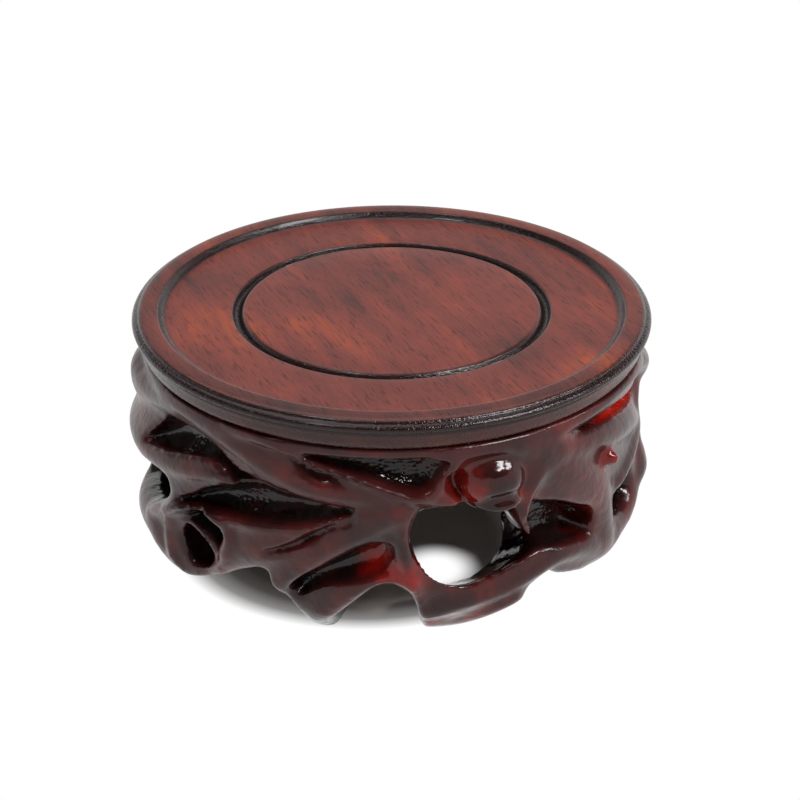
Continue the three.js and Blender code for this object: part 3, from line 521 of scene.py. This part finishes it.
def carved_field():
    """Signed distance to the carved base on a lattice of angle, height and radius, below 0 in the wood.

    The drum is cut open, the roots are joined to it, the hollows are scooped, and last come the fine
    forms, the collar under the board, the bore and the two flat ends.
    """
    angle, height = np.meshgrid(column_angle, level_height, indexing="ij")
    drum = blank_radius(angle, height)
    field = (shell_radius - (drum - core_depth(angle))[..., None]).astype(np.float32)
    for outline in GROUND_ARCHES.values():
        cut_outline(field, outline)
    for outline in OPENINGS.values():
        cut_outline(field, outline)
    for arch in ARCHES:
        cut_arch(field, *arch)
    for points in ROOTS.values():
        add_root(field, points)
    add_root(field, RING_KNOT, closed=True)
    for points, depth, wall in HOLLOWS.values():
        cut_hollow(field, points, depth, wall)
    cut_outline(field, GROUND_ARCHES["left"])
    cut_outline(field, GROUND_ARCHES["middle"])
    cut_falling(field, OPENINGS["front"])
    add_root(field, ROOTS["hanging_tip"], TIP_BLEND)
    add_root(field, KNOT_CURL, CURL_BLEND)
    cut_hollow(field, *CURL_HOLE)
    for knot, blend in KNOTS.values():
        place, swell = swelling(field, *knot)
        field[place] = joined(field[place], swell, blend)
    place, crease = swelling(field, *BURL_CREASE, sunk=CREASE_SINK)
    field[place] = cut(field[place], crease, CUT_BLEND)
    for points in GROOVES.values():
        cut_groove(field, points)
    collar = np.maximum(shell_radius - SHOULDER_RADIUS, BASE_HEIGHT - COLLAR_HEIGHT - height[..., None])
    field = joined(field, collar, COLLAR_BLEND)
    opened = np.clip(height / BORE_MOUTH_HEIGHT, 0, 1) ** 2
    bore = mixed(BORE_MOUTH_RADIUS, BORE_RADIUS, opened)
    field = cut(field, shell_radius - bore[..., None], BORE_BLEND)
    field = np.maximum(field, -height[..., None])
    return np.maximum(field, height[..., None] - BASE_HEIGHT)


def surface_net(field):
    """Closed mesh of the field's zero level: one corner in each cell that it crosses, at the mean of the
    cell's edge crossings, and one four-sided face round each lattice edge that it crosses. The angle wraps
    round."""
    across, up, out = field.shape
    wrapped = np.concatenate([field, field[:1]], 0)
    total = np.zeros((across * up * out, 3))
    count = np.zeros(across * up * out)
    faces = []
    for axis in range(3):
        start = wrapped[:-1] if axis == 0 else wrapped[:across]
        low = start if axis == 0 else np.take(start, range(start.shape[axis] - 1), axis)
        high = wrapped[1:] if axis == 0 else np.take(start, range(1, start.shape[axis]), axis)
        crossed = np.argwhere((low < 0) != (high < 0))
        a = low[tuple(crossed.T)]
        b = high[tuple(crossed.T)]
        point = crossed.astype(float)
        point[:, axis] += a / (a - b)
        first, second = [(1, 2), (2, 0), (0, 1)][axis]
        ring = []
        for back_first, back_second in ((0, 0), (1, 0), (1, 1), (0, 1)):
            cell = crossed.copy()
            cell[:, first] -= back_first
            cell[:, second] -= back_second
            place = point.copy()
            place[:, 0] += np.where(cell[:, 0] < 0, across, 0)
            cell[:, 0] %= across
            index = (cell[:, 0] * up + cell[:, 1]) * out + cell[:, 2]
            for k in range(3):
                total[:, k] += np.bincount(index, place[:, k], len(total))
            count += np.bincount(index, minlength=len(count))
            ring.append(index)
        quads = np.stack(ring, -1)
        outward = a < 0
        faces.append(np.where(outward[:, None], quads, quads[:, ::-1]))
    used = np.nonzero(count)[0]
    number = np.full(len(count), -1)
    number[used] = np.arange(len(used))
    return total[used] / count[used][:, None], number[np.vstack(faces)]


def mesh_object(name, points, faces):
    """An object at the origin whose mesh holds the points, given in mm, and the faces."""
    mesh = bpy.data.meshes.new(name)
    mesh.from_pydata((points * MM).tolist(), [], faces)
    mesh.polygons.foreach_set("use_smooth", np.ones(len(mesh.polygons), bool))
    mesh.update()
    piece = bpy.data.objects.new(name, mesh)
    bpy.context.scene.collection.objects.link(piece)
    return piece


def add_float(piece, name, values):
    """Gives a piece's mesh one number for each of its points."""
    attribute = piece.data.attributes.new(name, "FLOAT", "POINT")
    attribute.data.foreach_set("value", np.asarray(values, dtype=np.float32))


lattice_points, base_faces = surface_net(carved_field())
net_angle = np.interp(lattice_points[:, 0], [0, ANGLE_CELLS], [-180, 180])
net_height = np.interp(lattice_points[:, 1], np.arange(len(level_height)), level_height)
net_radius = np.interp(lattice_points[:, 2], np.arange(len(shell_radius)), shell_radius)
net_across = net_radius * np.cos(np.radians(net_angle))
net_along = net_radius * np.sin(np.radians(net_angle))
base_points = np.stack([net_across, net_along, net_height], -1)
base_points = np.clip(base_points, np.array(cad_low) / MM, np.array(cad_high) / MM)
carved_base = mesh_object("carved_base", base_points, base_faces.tolist())
add_float(carved_base, "depth", blank_radius(net_angle, net_height) - net_radius)
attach(carved_base, "root")
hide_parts("root_base")


def linear(code):
    """An sRGB colour written in hex, as linear red, green, blue and alpha."""
    parts = [int(code[i:i + 2], 16) / 255 for i in (1, 3, 5)]
    return [c / 12.92 if c <= 0.04045 else ((c + 0.055) / 1.055) ** 2.4 for c in parts] + [1.0]


def new_material(name):
    """A material and its node tree, still empty."""
    material = bpy.data.materials.new(name)
    material.use_nodes = True
    material.node_tree.nodes.clear()
    return material, material.node_tree


def add_node(tree, kind, settings=None, stops=None, **inputs):
    """Adds a shader node: settings are its operation or its properties, stops are a colour ramp's places and
    hex colours, and each input, by its name or by i and its number, is a value or another node's output."""
    node = tree.nodes.new("ShaderNode" + kind)
    if isinstance(settings, str):
        settings = {"operation": settings}
    for key, value in (settings or {}).items():
        setattr(node, key, value)
    for key, value in inputs.items():
        numbered = key[0] == "i" and key[1:].isdigit()
        socket = node.inputs[int(key[1:]) if numbered else key.replace("_", " ")]
        if isinstance(value, bpy.types.NodeSocket):
            tree.links.new(value, socket)
        else:
            socket.default_value = value
    if stops:
        elements = node.color_ramp.elements
        while len(elements) > 1:
            elements.remove(elements[-1])
        elements[0].position = stops[0][0]
        elements[0].color = linear(stops[0][1])
        for place, code in stops[1:]:
            elements.new(place).color = linear(code)
    return node


def per_metre(size):
    """A pattern's scale for features of a size in mm: how many of them lie in a metre."""
    return 1 / (size * MM)


SMOOTH = {"interpolation_type": "SMOOTHSTEP"}

# The gloss lacquer in mm: how deep under the drum the ridges end and the hollows, with their painted shade,
# begin, from what depth the gouge's chips show and where they are at their full, and how large the clouds of
# stain, the waves of the lacquer and the chips are
RIDGE_DEPTH = 0.5
WET_DEPTH = 2.6
CHIP_START_DEPTH = 1.6
CHIP_FULL_DEPTH = 2.8
STAIN_CLOUD = 9.09
LACQUER_WAVE = 2.38
GOUGE_CHIP = 0.769

# Colours of the rubbed ridges, and of the hollows from the black of painted shade to the red of painted
# light
RIDGE_STAIN = [(0.35, "#2A0C0C"), (0.55, "#421312"), (0.7, "#5A1C17")]
HOLLOW_SHADE_AND_LIGHT = [(0.5, "#140706"), (0.66, "#2E0906"), (0.85, "#7A0E05"), (1.0, "#A81606")]

# Where painted red light makes the hollows red, where the ridges are painted as dark as the shaded hollows,
# and
# where the gouge left small chips: a place, how far it reaches in metres, and how strongly. A place is at
# its full within the core's share of its reach.
PAINTED_LIGHT_PLACES = [((0.038, -0.014, 0.036), 0.02, 0.5), ((0.001, -0.038, 0.018), 0.010, 0.4),
              ((0.011, -0.041, 0.035), 0.006, 0.25), ((0.010, -0.036, 0.006), 0.016, 0.25)]
PAINTED_SHADE_PLACES = [((0.0165, -0.041, 0.034), 0.0085, 0.95), ((0.036, -0.024, 0.03), 0.0035, 0.8),
              ((0.002, -0.040, 0.021), 0.008, 0.7), ((0.010, -0.036, 0.006), 0.015, 0.75),
              ((-0.013, -0.035, 0.004), 0.010, 0.75), ((-0.013, -0.038, 0.015), 0.007, 0.6)]
CHIPPED = [((-0.001, -0.043, 0.038), 0.014, 1.0), ((0.029, -0.031, 0.021), 0.010, 0.7),
           ((-0.0284, -0.0282, 0.0366), 0.004, 1.0), ((-0.0319, -0.0242, 0.0327), 0.003, 1.0),
           ((-0.0237, -0.0322, 0.0275), 0.006, 1.0), ((-0.0128, -0.0379, 0.0152), 0.005, 1.0)]
PLACE_CORE = 0.3


def near_places(tree, place, places):
    """A value that rises from 0 at each place's reach to its strength within its core."""
    most = None
    for centre, reach, strength in places:
        gap = add_node(tree, "VectorMath", "DISTANCE", i0=place, i1=centre)
        near = add_node(tree, "MapRange", SMOOTH, Value=gap.outputs["Value"], From_Min=reach,
                        From_Max=reach * PLACE_CORE, To_Max=strength).outputs["Result"]
        if most is None:
            most = near
        else:
            most = add_node(tree, "Math", "MAXIMUM", i0=most, i1=near).outputs[0]
    return most


def gloss_lacquer():
    """Stained hardwood under many coats of clear lacquer: rubbed dark plum on the ridges, and in the hollows
    glossy black painted shade that deepens with their depth, or deep red painted light at a few places."""
    material, tree = new_material("gloss_root_lacquer")
    place = add_node(tree, "TexCoord").outputs["Object"]
    depth = add_node(tree, "Attribute", {"attribute_name": "depth"}).outputs["Fac"]
    cloud = add_node(tree, "TexNoise", Vector=place, Scale=per_metre(STAIN_CLOUD), Detail=4.0,
                     Roughness=0.6)
    # Painted shade: the deeper a place lies under the drum, the more it takes the hollows' black colour, and
    # the glossier it is.
    deep = add_node(tree, "MapRange", SMOOTH, Value=depth, From_Min=RIDGE_DEPTH, From_Max=WET_DEPTH)
    # Painted shade: the burl, the small boss, the post and the two front feet are given the hollows' dark
    # colour and polish.
    hollow = add_node(tree, "Math", "MAXIMUM", i0=deep.outputs["Result"],
                      i1=near_places(tree, place, PAINTED_SHADE_PLACES))
    ridge_colour = add_node(tree, "ValToRGB", stops=RIDGE_STAIN, i0=cloud.outputs["Fac"])
    # Painted red light: near the listed places the hollows' colour runs up from the black of painted shade
    # to red.
    red = add_node(tree, "Math", "ADD", i0=near_places(tree, place, PAINTED_LIGHT_PLACES), i1=cloud.outputs["Fac"])
    hollow_colour = add_node(tree, "ValToRGB", stops=HOLLOW_SHADE_AND_LIGHT, i0=red.outputs[0])
    colour = add_node(tree, "Mix", {"data_type": "RGBA"}, i0=hollow.outputs[0],
                      i6=ridge_colour.outputs["Color"], i7=hollow_colour.outputs["Color"])
    wave = add_node(tree, "TexNoise", Vector=place, Scale=per_metre(LACQUER_WAVE), Detail=2.0)
    chips = add_node(tree, "TexVoronoi", Vector=place, Scale=per_metre(GOUGE_CHIP))
    floor_of = add_node(tree, "MapRange", Value=depth, From_Min=CHIP_START_DEPTH, From_Max=CHIP_FULL_DEPTH)
    chipped = add_node(tree, "Math", "MULTIPLY", i0=floor_of.outputs["Result"],
                       i1=near_places(tree, place, CHIPPED))
    rough_cut = add_node(tree, "Math", "MULTIPLY", i0=chips.outputs["Distance"], i1=chipped.outputs[0])
    relief = add_node(tree, "Math", "MULTIPLY_ADD", i0=rough_cut.outputs[0], i1=1.6, i2=wave.outputs["Fac"])
    bump = add_node(tree, "Bump", Height=relief.outputs[0], Strength=0.3, Distance=0.0006)
    polish = add_node(tree, "MapRange", Value=hollow.outputs[0], To_Min=0.3, To_Max=0.12)
    shader = add_node(tree, "BsdfPrincipled", Base_Color=colour.outputs[2],
                      Roughness=polish.outputs["Result"], IOR=1.36, Normal=bump.outputs["Normal"],
                      Coat_Weight=0.15, Coat_Roughness=0.06, Coat_Normal=bump.outputs["Normal"])
    add_node(tree, "OutputMaterial", Surface=shader.outputs[0])
    return material


carved_base.data.materials.append(gloss_lacquer())

# The top board: hardwood turned on a lathe, with a raised lip, a sunk seat and one round groove, stained
# and brushed with satin lacquer, and glued and pegged face down on the carved base.
RIM_TOP = round(cad_high[2] / MM, 2)
SEAT_DEPTH = 1.2
SEAT_HEIGHT = RIM_TOP - SEAT_DEPTH

# The turned outline from seat to waist: radius and height in mm, and how dark the stain and painted shade
# lie
BOARD_PROFILE = [
    (24.9, SEAT_HEIGHT, 0.0), (25.35, 46.76, 0.4), (25.7, 46.4, 1.0), (25.95, 45.9, 1.0), (26.2, 45.6, 1.0),
    (26.6, 45.5, 1.0), (26.9, 45.6, 1.0), (27.1, 46.0, 1.0), (27.25, 46.5, 1.0), (27.4, 46.76, 0.5),
    (27.7, SEAT_HEIGHT, 0.0), (30.0, SEAT_HEIGHT, 0.0), (35.0, SEAT_HEIGHT, 0.0), (38.3, SEAT_HEIGHT, 0.0),
    (38.8, SEAT_HEIGHT, 0.5), (39.1, 46.85, 1.0), (39.3, 47.0, 1.0), (39.58, 47.36, 1.0),
    (39.84, 47.7, 1.0), (39.96, 47.86, 0.8), (40.15, 47.96, 0.4), (40.5, RIM_TOP, 0.1),
    (41.8, RIM_TOP, 0.15), (42.6, 47.97, 0.3), (43.0, 47.88, 0.6), (43.22, 47.74, 0.9), (43.34, 47.58, 1.0),
    (43.4, 47.42, 1.0), (43.56, 47.36, 1.0), (43.9, 47.26, 1.0), (44.2, 47.06, 1.0), (44.37, 46.8, 1.0),
    (BOARD_RADIUS, 46.54, 1.0), (44.3, 46.3, 1.0), (44.05, 46.1, 1.0), (43.7, 45.96, 1.0),
    (43.44, 45.82, 1.0), (43.36, 45.66, 1.0), (43.46, 45.5, 0.9), (43.5, 45.3, 0.8), (43.4, 45.0, 0.8),
    (43.36, 44.6, 0.8), (43.3, 44.0, 0.8), (43.2, 43.4, 0.8), (42.9, 42.85, 0.9), (42.3, BASE_HEIGHT, 1.0),
]

# Radii in mm of the rings that carry the two flat faces in to the middle, and steps round the board
TOP_RINGS = (12.0, 20.0)
UNDER_RINGS = (30.0, 15.0)
BOARD_STEPS = 360


def revolved(profile, steps):
    """A profile of radius and height turned about Z on a grid, closed by a point in the middle of each end,
    and the profile's third value at each point."""
    profile = np.array(profile)
    top = np.array([(radius, profile[0, 1], 0) for radius in TOP_RINGS])
    under = np.array([(radius, profile[-1, 1], 1) for radius in UNDER_RINGS])
    line = np.vstack([top, profile, under])
    turn = np.arange(steps) * 2 * math.pi / steps
    across = line[:, :1] * np.cos(turn)
    along = line[:, :1] * np.sin(turn)
    up = np.broadcast_to(line[:, 1:2], across.shape)
    ends = [(0, 0, line[0, 1]), (0, 0, line[-1, 1])]
    points = np.vstack([np.stack([across, along, up], -1).reshape(-1, 3), ends])
    rows, columns = np.meshgrid(np.arange(len(line) - 1), np.arange(steps), indexing="ij")
    here = rows * steps + columns
    ahead = rows * steps + (columns + 1) % steps
    quads = np.stack([here, here + steps, ahead + steps, ahead], -1).reshape(-1, 4)
    start = np.arange(steps)
    end = (start + 1) % steps
    last = (len(line) - 1) * steps
    hub = np.full(steps, len(points) - 2)
    foot = np.full(steps, len(points) - 1)
    top_fan = np.stack([hub, start, end], -1)
    under_fan = np.stack([foot, last + end, last + start], -1)
    faces = quads.tolist() + top_fan.tolist() + under_fan.tolist()
    return points, faces, np.append(np.repeat(line[:, 2], steps), (0, 1))


# The profile's third value: how much gathered stain and painted shade darken each point.
board_points, board_faces, board_stain_and_shade = revolved(BOARD_PROFILE, BOARD_STEPS)
top_board = mesh_object("turned_board", board_points, board_faces)
add_float(top_board, "stain", board_stain_and_shade)
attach(top_board, "root")
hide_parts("top_board")

# In metres: where the lip begins and how soon it's fully darkened, between which places painted shade
# thickens on it towards the front, and the wood's warmer patches and how far they reach. The strengths are
# shares.
LIP_INNER_RADIUS = 0.04
LIP_EDGE = 0.0006
LIP_SHADE_START = -0.012
LIP_SHADE_END = -0.036
WARM_PATCHES = [((-0.03, -0.006, 0.047), 0.018), ((0.034, -0.026, 0.047), 0.014),
                ((-0.008, -0.014, 0.047), 0.016)]
WARM_STRENGTH = 0.25
LIP_SHADE_STRENGTH = 0.6

# The grain's direction in degrees and how much longer than wide it is, and sizes across it in mm: the pores,
# the streaks of growth, the clouds of stain and the brushed film's waves. Real pores are about 0.2 mm wide.
# They are drawn nearly twice as wide, so that they show.
GRAIN_ANGLE = -66
GRAIN_STRETCH = 8.0
PORE_WIDTH = 0.3846
STREAK_WIDTH = 3.846
BOARD_CLOUD = 16.67
BRUSH_WAVE = 0.4545

# Colours of the wood from its dark streaks to its warm patches, of its pores, and of the gathered stain with
# painted shade
BOARD_WOOD = [(0.0, "#442420"), (0.25, "#642C25"), (0.5, "#703128"), (0.75, "#7E3729"), (1.0, "#964220")]
PORE_SHADE = [(0.30, "#5A342C"), (0.46, "#FFFFFF")]
GATHERED_STAIN_AND_SHADE = "#1E0C0B"


def satin_lacquer():
    """Stained hardwood with an open pore, brushed with lacquer: satin red-brown on top, and nearly black and
    glossier in the groove, the recess's corner and the moulded side, where the stain gathers and shade is
    painted in; the front of the lip is painted with more shade."""
    material, tree = new_material("satin_board_lacquer")
    place = add_node(tree, "TexCoord").outputs["Object"]
    # The stain share: gathered stain with painted shade in the groove, the recess's corner and on the
    # moulded side.
    stain = add_node(tree, "Attribute", {"attribute_name": "stain"}).outputs["Fac"]
    grain = add_node(tree, "Mapping", {"vector_type": "TEXTURE"}, Vector=place,
                     Rotation=(0, 0, math.radians(GRAIN_ANGLE)), Scale=(GRAIN_STRETCH, 1.0, 1.0))
    pores = add_node(tree, "TexNoise", Vector=grain.outputs["Vector"], Scale=per_metre(PORE_WIDTH),
                     Detail=3.0, Roughness=0.6)
    streaks = add_node(tree, "TexNoise", Vector=grain.outputs["Vector"], Scale=per_metre(STREAK_WIDTH),
                       Detail=5.0, Roughness=0.6)
    cloud = add_node(tree, "TexNoise", Vector=place, Scale=per_metre(BOARD_CLOUD), Detail=3.0)
    warm = cloud.outputs["Fac"]
    for centre, reach in WARM_PATCHES:
        gap = add_node(tree, "VectorMath", "DISTANCE", i0=place, i1=centre)
        near = add_node(tree, "MapRange", SMOOTH, Value=gap.outputs["Value"], From_Min=reach, From_Max=0.0,
                        To_Max=WARM_STRENGTH)
        both = add_node(tree, "Math", "ADD", i0=warm, i1=near.outputs["Result"])
        warm = both.outputs[0]
    tone = add_node(tree, "Math", "MULTIPLY_ADD", i0=warm, i1=0.8, i2=streaks.outputs["Fac"])
    tone = add_node(tree, "MapRange", Value=tone.outputs[0], From_Min=0.62, From_Max=1.25)
    colour = add_node(tree, "ValToRGB", stops=BOARD_WOOD, i0=tone.outputs["Result"])
    pore = add_node(tree, "ValToRGB", stops=PORE_SHADE, i0=pores.outputs["Fac"])
    dark = add_node(tree, "Mix", {"data_type": "RGBA", "blend_type": "MULTIPLY"}, i0=0.75,
                    i6=colour.outputs["Color"], i7=pore.outputs["Color"])

    # Painted shade on the lip, thickening towards the front.
    across = add_node(tree, "VectorMath", "MULTIPLY", i0=place, i1=(1.0, 1.0, 0.0))
    radius = add_node(tree, "VectorMath", "LENGTH", i0=across.outputs[0])
    lip = add_node(tree, "MapRange", Value=radius.outputs["Value"], From_Min=LIP_INNER_RADIUS,
                   From_Max=LIP_INNER_RADIUS + LIP_EDGE)
    forward = add_node(tree, "SeparateXYZ", i0=place)
    front = add_node(tree, "MapRange", SMOOTH, Value=forward.outputs["Y"], From_Min=LIP_SHADE_START,
                     From_Max=LIP_SHADE_END, To_Max=LIP_SHADE_STRENGTH)
    lip_front_shade = add_node(tree, "Math", "MULTIPLY", i0=lip.outputs["Result"], i1=front.outputs["Result"])
    # The gathered stain with its painted shade, and the painted shade on the lip's front, darken the colour.
    stain_and_shade = add_node(tree, "Math", "MAXIMUM", i0=stain, i1=lip_front_shade.outputs[0])
    stained = add_node(tree, "Mix", {"data_type": "RGBA"}, i0=stain_and_shade.outputs[0], i6=dark.outputs[2],
                       i7=linear(GATHERED_STAIN_AND_SHADE))

    wave = add_node(tree, "TexNoise", Vector=place, Scale=per_metre(BRUSH_WAVE), Detail=2.0)
    film = add_node(tree, "Math", "MULTIPLY", i0=wave.outputs["Fac"], i1=stain)
    relief = add_node(tree, "Math", "MULTIPLY_ADD", i0=pores.outputs["Fac"], i1=0.4, i2=film.outputs[0])
    bump = add_node(tree, "Bump", Height=relief.outputs[0], Strength=0.4, Distance=0.0004)
    polish = add_node(tree, "MapRange", Value=stain, To_Min=0.45, To_Max=0.16)
    shader = add_node(tree, "BsdfPrincipled", Base_Color=stained.outputs[2],
                      Roughness=polish.outputs["Result"], IOR=1.36, Normal=bump.outputs["Normal"],
                      Coat_Weight=0.15, Coat_Roughness=0.1)
    add_node(tree, "OutputMaterial", Surface=shader.outputs[0])
    return material


top_board.data.materials.append(satin_lacquer())

# Four round pegs of plain hardwood, turned and driven into blind holes, half in the board and half in the
# base, where nothing of them shows. They keep the shapes that they have in the solids.
PEG_FIBRE = 0.5556
PEG_FIBRE_STRETCH = 0.1


def peg_wood():
    """Bare, straight-grained hardwood with a dull face: a noise whose fibres are drawn out along Z."""
    material, tree = new_material("bare_peg_wood")
    place = add_node(tree, "TexCoord").outputs["Object"]
    grain = add_node(tree, "Mapping", Vector=place, Scale=(1.0, 1.0, PEG_FIBRE_STRETCH))
    fibre = add_node(tree, "TexNoise", Vector=grain.outputs["Vector"], Scale=per_metre(PEG_FIBRE),
                     Detail=3.0)
    colour = add_node(tree, "ValToRGB", stops=[(0.35, "#8A6545"), (0.65, "#B48C62")],
                      i0=fibre.outputs["Fac"])
    bump = add_node(tree, "Bump", Height=fibre.outputs["Fac"], Strength=0.2, Distance=0.0002)
    shader = add_node(tree, "BsdfPrincipled", Base_Color=colour.outputs["Color"], Roughness=0.7,
                      Normal=bump.outputs["Normal"])
    add_node(tree, "OutputMaterial", Surface=shader.outputs[0])
    return material


peg_material = peg_wood()
for peg_name in ("peg_1", "peg_2", "peg_3", "peg_4"):
    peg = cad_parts[peg_name]
    peg.data.materials.clear()
    peg.data.materials.append(peg_material)

# The studio: a pale paper floor that runs out of sight, a broad soft lamp over the back, smaller ones on the
# right, at a window's place and on the left for the glints, and the camera where the photographer's stood.
FLOOR_HALF_WIDTH = 3000

# The floor's shade in metres: the ellipse that follows the feet, its largest reach and how it fades, and the
# spot of painted light on the floor inside the front opening, from its edge to its full
FEET_SQUEEZE = (0.84, 1.0, 1.0)
FEET_SHIFT = (0.0042, 0.0, 0.0)
SHADE_REACH = 0.04
SHADE_FADE = [(0.5, "#000000"), (0.58, "#303030"), (0.66, "#808080"), (0.74, "#FFFFFF")]
PAINTED_LIGHT_SPOT = (0.0078, -0.011, 0.0)
PAINTED_LIGHT_EDGE = 0.009
PAINTED_LIGHT_FULL = 0.003


def seen_share(tree):
    """1 for what the camera, a reflection or a clear material sees, and 0 for what only gives light."""
    paths = add_node(tree, "LightPath")
    seen = add_node(tree, "Math", "MAXIMUM", i0=paths.outputs["Is Camera Ray"],
                    i1=paths.outputs["Is Glossy Ray"])
    seen = add_node(tree, "Math", "MAXIMUM", i0=seen.outputs[0], i1=paths.outputs["Is Transmission Ray"])
    return seen.outputs[0]


def paper_floor():
    """Pale paper: white to the camera and in reflections, with the stand's soft shadow kept round its feet.

    The white share rises with the distance from the middle, measured in ellipses that follow the feet, and
    again round a painted pool of light on the floor inside the front opening.
    """
    material, tree = new_material("pale_floor_paper")
    place = add_node(tree, "TexCoord").outputs["Object"]
    feet = add_node(tree, "VectorMath", "MULTIPLY_ADD", i0=place, i1=FEET_SQUEEZE, i2=FEET_SHIFT)
    reach = add_node(tree, "VectorMath", "LENGTH", i0=feet.outputs[0])
    far = add_node(tree, "MapRange", Value=reach.outputs["Value"], From_Max=SHADE_REACH)
    fade = add_node(tree, "ValToRGB", stops=SHADE_FADE, i0=far.outputs["Result"])
    # Painted light: a pool of white glow on the floor inside the front opening.
    spot = add_node(tree, "VectorMath", "DISTANCE", i0=place, i1=PAINTED_LIGHT_SPOT)
    painted_light_pool = add_node(tree, "MapRange", SMOOTH, Value=spot.outputs["Value"], From_Min=PAINTED_LIGHT_EDGE,
                   From_Max=PAINTED_LIGHT_FULL)
    white = add_node(tree, "Math", "MAXIMUM", i0=fade.outputs["Color"], i1=painted_light_pool.outputs["Result"])
    share = add_node(tree, "Math", "MULTIPLY", i0=seen_share(tree), i1=white.outputs[0])
    paper = add_node(tree, "BsdfDiffuse", Color=linear("#F4E6DA"))
    glow = add_node(tree, "Emission", Color=linear("#FFFFFF"), Strength=1.0)
    both = add_node(tree, "MixShader", i0=share.outputs[0], i1=paper.outputs[0], i2=glow.outputs[0])
    add_node(tree, "OutputMaterial", Surface=both.outputs[0])
    return material


floor_corners = FLOOR_HALF_WIDTH * np.array([(-1, -1, 0), (1, -1, 0), (1, 1, 0), (-1, 1, 0)])
floor = mesh_object("studio_floor", floor_corners, [(0, 1, 2, 3)])
floor.data.materials.append(paper_floor())

# The point in metres that every lamp faces, a little over halfway up the stand
LAMP_TARGET = (0, 0, 0.03)


def soft_lamp(name, place, width, height, power):
    """A rectangular area lamp turned to face its target: tilted from straight down by the angle whose cosine
    is the drop over the distance, and turned about Z to the direction of the target."""
    data = bpy.data.lights.new(name, "AREA")
    data.shape = "RECTANGLE"
    data.size = width
    data.size_y = height
    data.energy = power
    lamp = bpy.data.objects.new(name, data)
    bpy.context.scene.collection.objects.link(lamp)
    towards = np.array(LAMP_TARGET) - np.array(place)
    tilt = math.acos(-towards[2] / np.linalg.norm(towards))
    lamp.location = place
    lamp.rotation_euler = (tilt, 0, math.atan2(towards[1], towards[0]) - math.pi / 2)


soft_lamp("overhead_softbox", (-0.05, 0.25, 0.6), 0.6, 0.5, 1.5)
soft_lamp("right_lamp", (0.3, -0.2, 0.42), 0.2, 0.1, 2.0)
soft_lamp("window_lamp", (0.46, -0.03, 0.33), 0.1, 0.05, 0.5)
soft_lamp("left_lamp", (-0.16, -0.14, 0.5), 0.08, 0.05, 0.4)

# The air round the stand: white where it is seen low down, and fading to a dim ceiling between two rises of
# the view, and how strongly it lights the stand and how brightly the ceiling is seen
WHITE_RISE = 0.3
CEILING_RISE = 0.42
AIR_LIGHT = 0.35
CEILING_SEEN = 0.15

world = bpy.data.worlds.new("studio_air")
bpy.context.scene.world = world
world.use_nodes = True
air = world.node_tree
air.nodes.clear()
air_seen = seen_share(air)
view = add_node(air, "TexCoord").outputs["Generated"]
direction = add_node(air, "SeparateXYZ", i0=view)
wall = add_node(air, "MapRange", SMOOTH, Value=direction.outputs["Z"], From_Min=CEILING_RISE,
                From_Max=WHITE_RISE)
wall_share = add_node(air, "Math", "MULTIPLY", i0=air_seen, i1=wall.outputs["Result"])
strength = add_node(air, "MapRange", Value=air_seen, To_Min=AIR_LIGHT, To_Max=CEILING_SEEN)
ceiling = add_node(air, "Background", Color=linear("#E8E8EA"), Strength=strength.outputs["Result"])
white_wall = add_node(air, "Background", Color=linear("#FFFFFF"), Strength=1.0)
sky = add_node(air, "MixShader", i0=wall_share.outputs[0], i1=ceiling.outputs[0], i2=white_wall.outputs[0])
add_node(air, "OutputWorld", Surface=sky.outputs[0])

camera_data = bpy.data.cameras.new("photo_camera")
camera_data.sensor_width = 36.0
camera_data.lens = 82.74
camera_data.clip_start = 0.01
camera_data.clip_end = 20.0
camera = bpy.data.objects.new("photo_camera", camera_data)
bpy.context.scene.collection.objects.link(camera)
camera.location = (0.00143, -0.28656, 0.18173)
camera.rotation_euler = (math.radians(61.851), 0, 0)
bpy.context.scene.camera = camera

bpy.context.scene.view_settings.view_transform = "Standard"
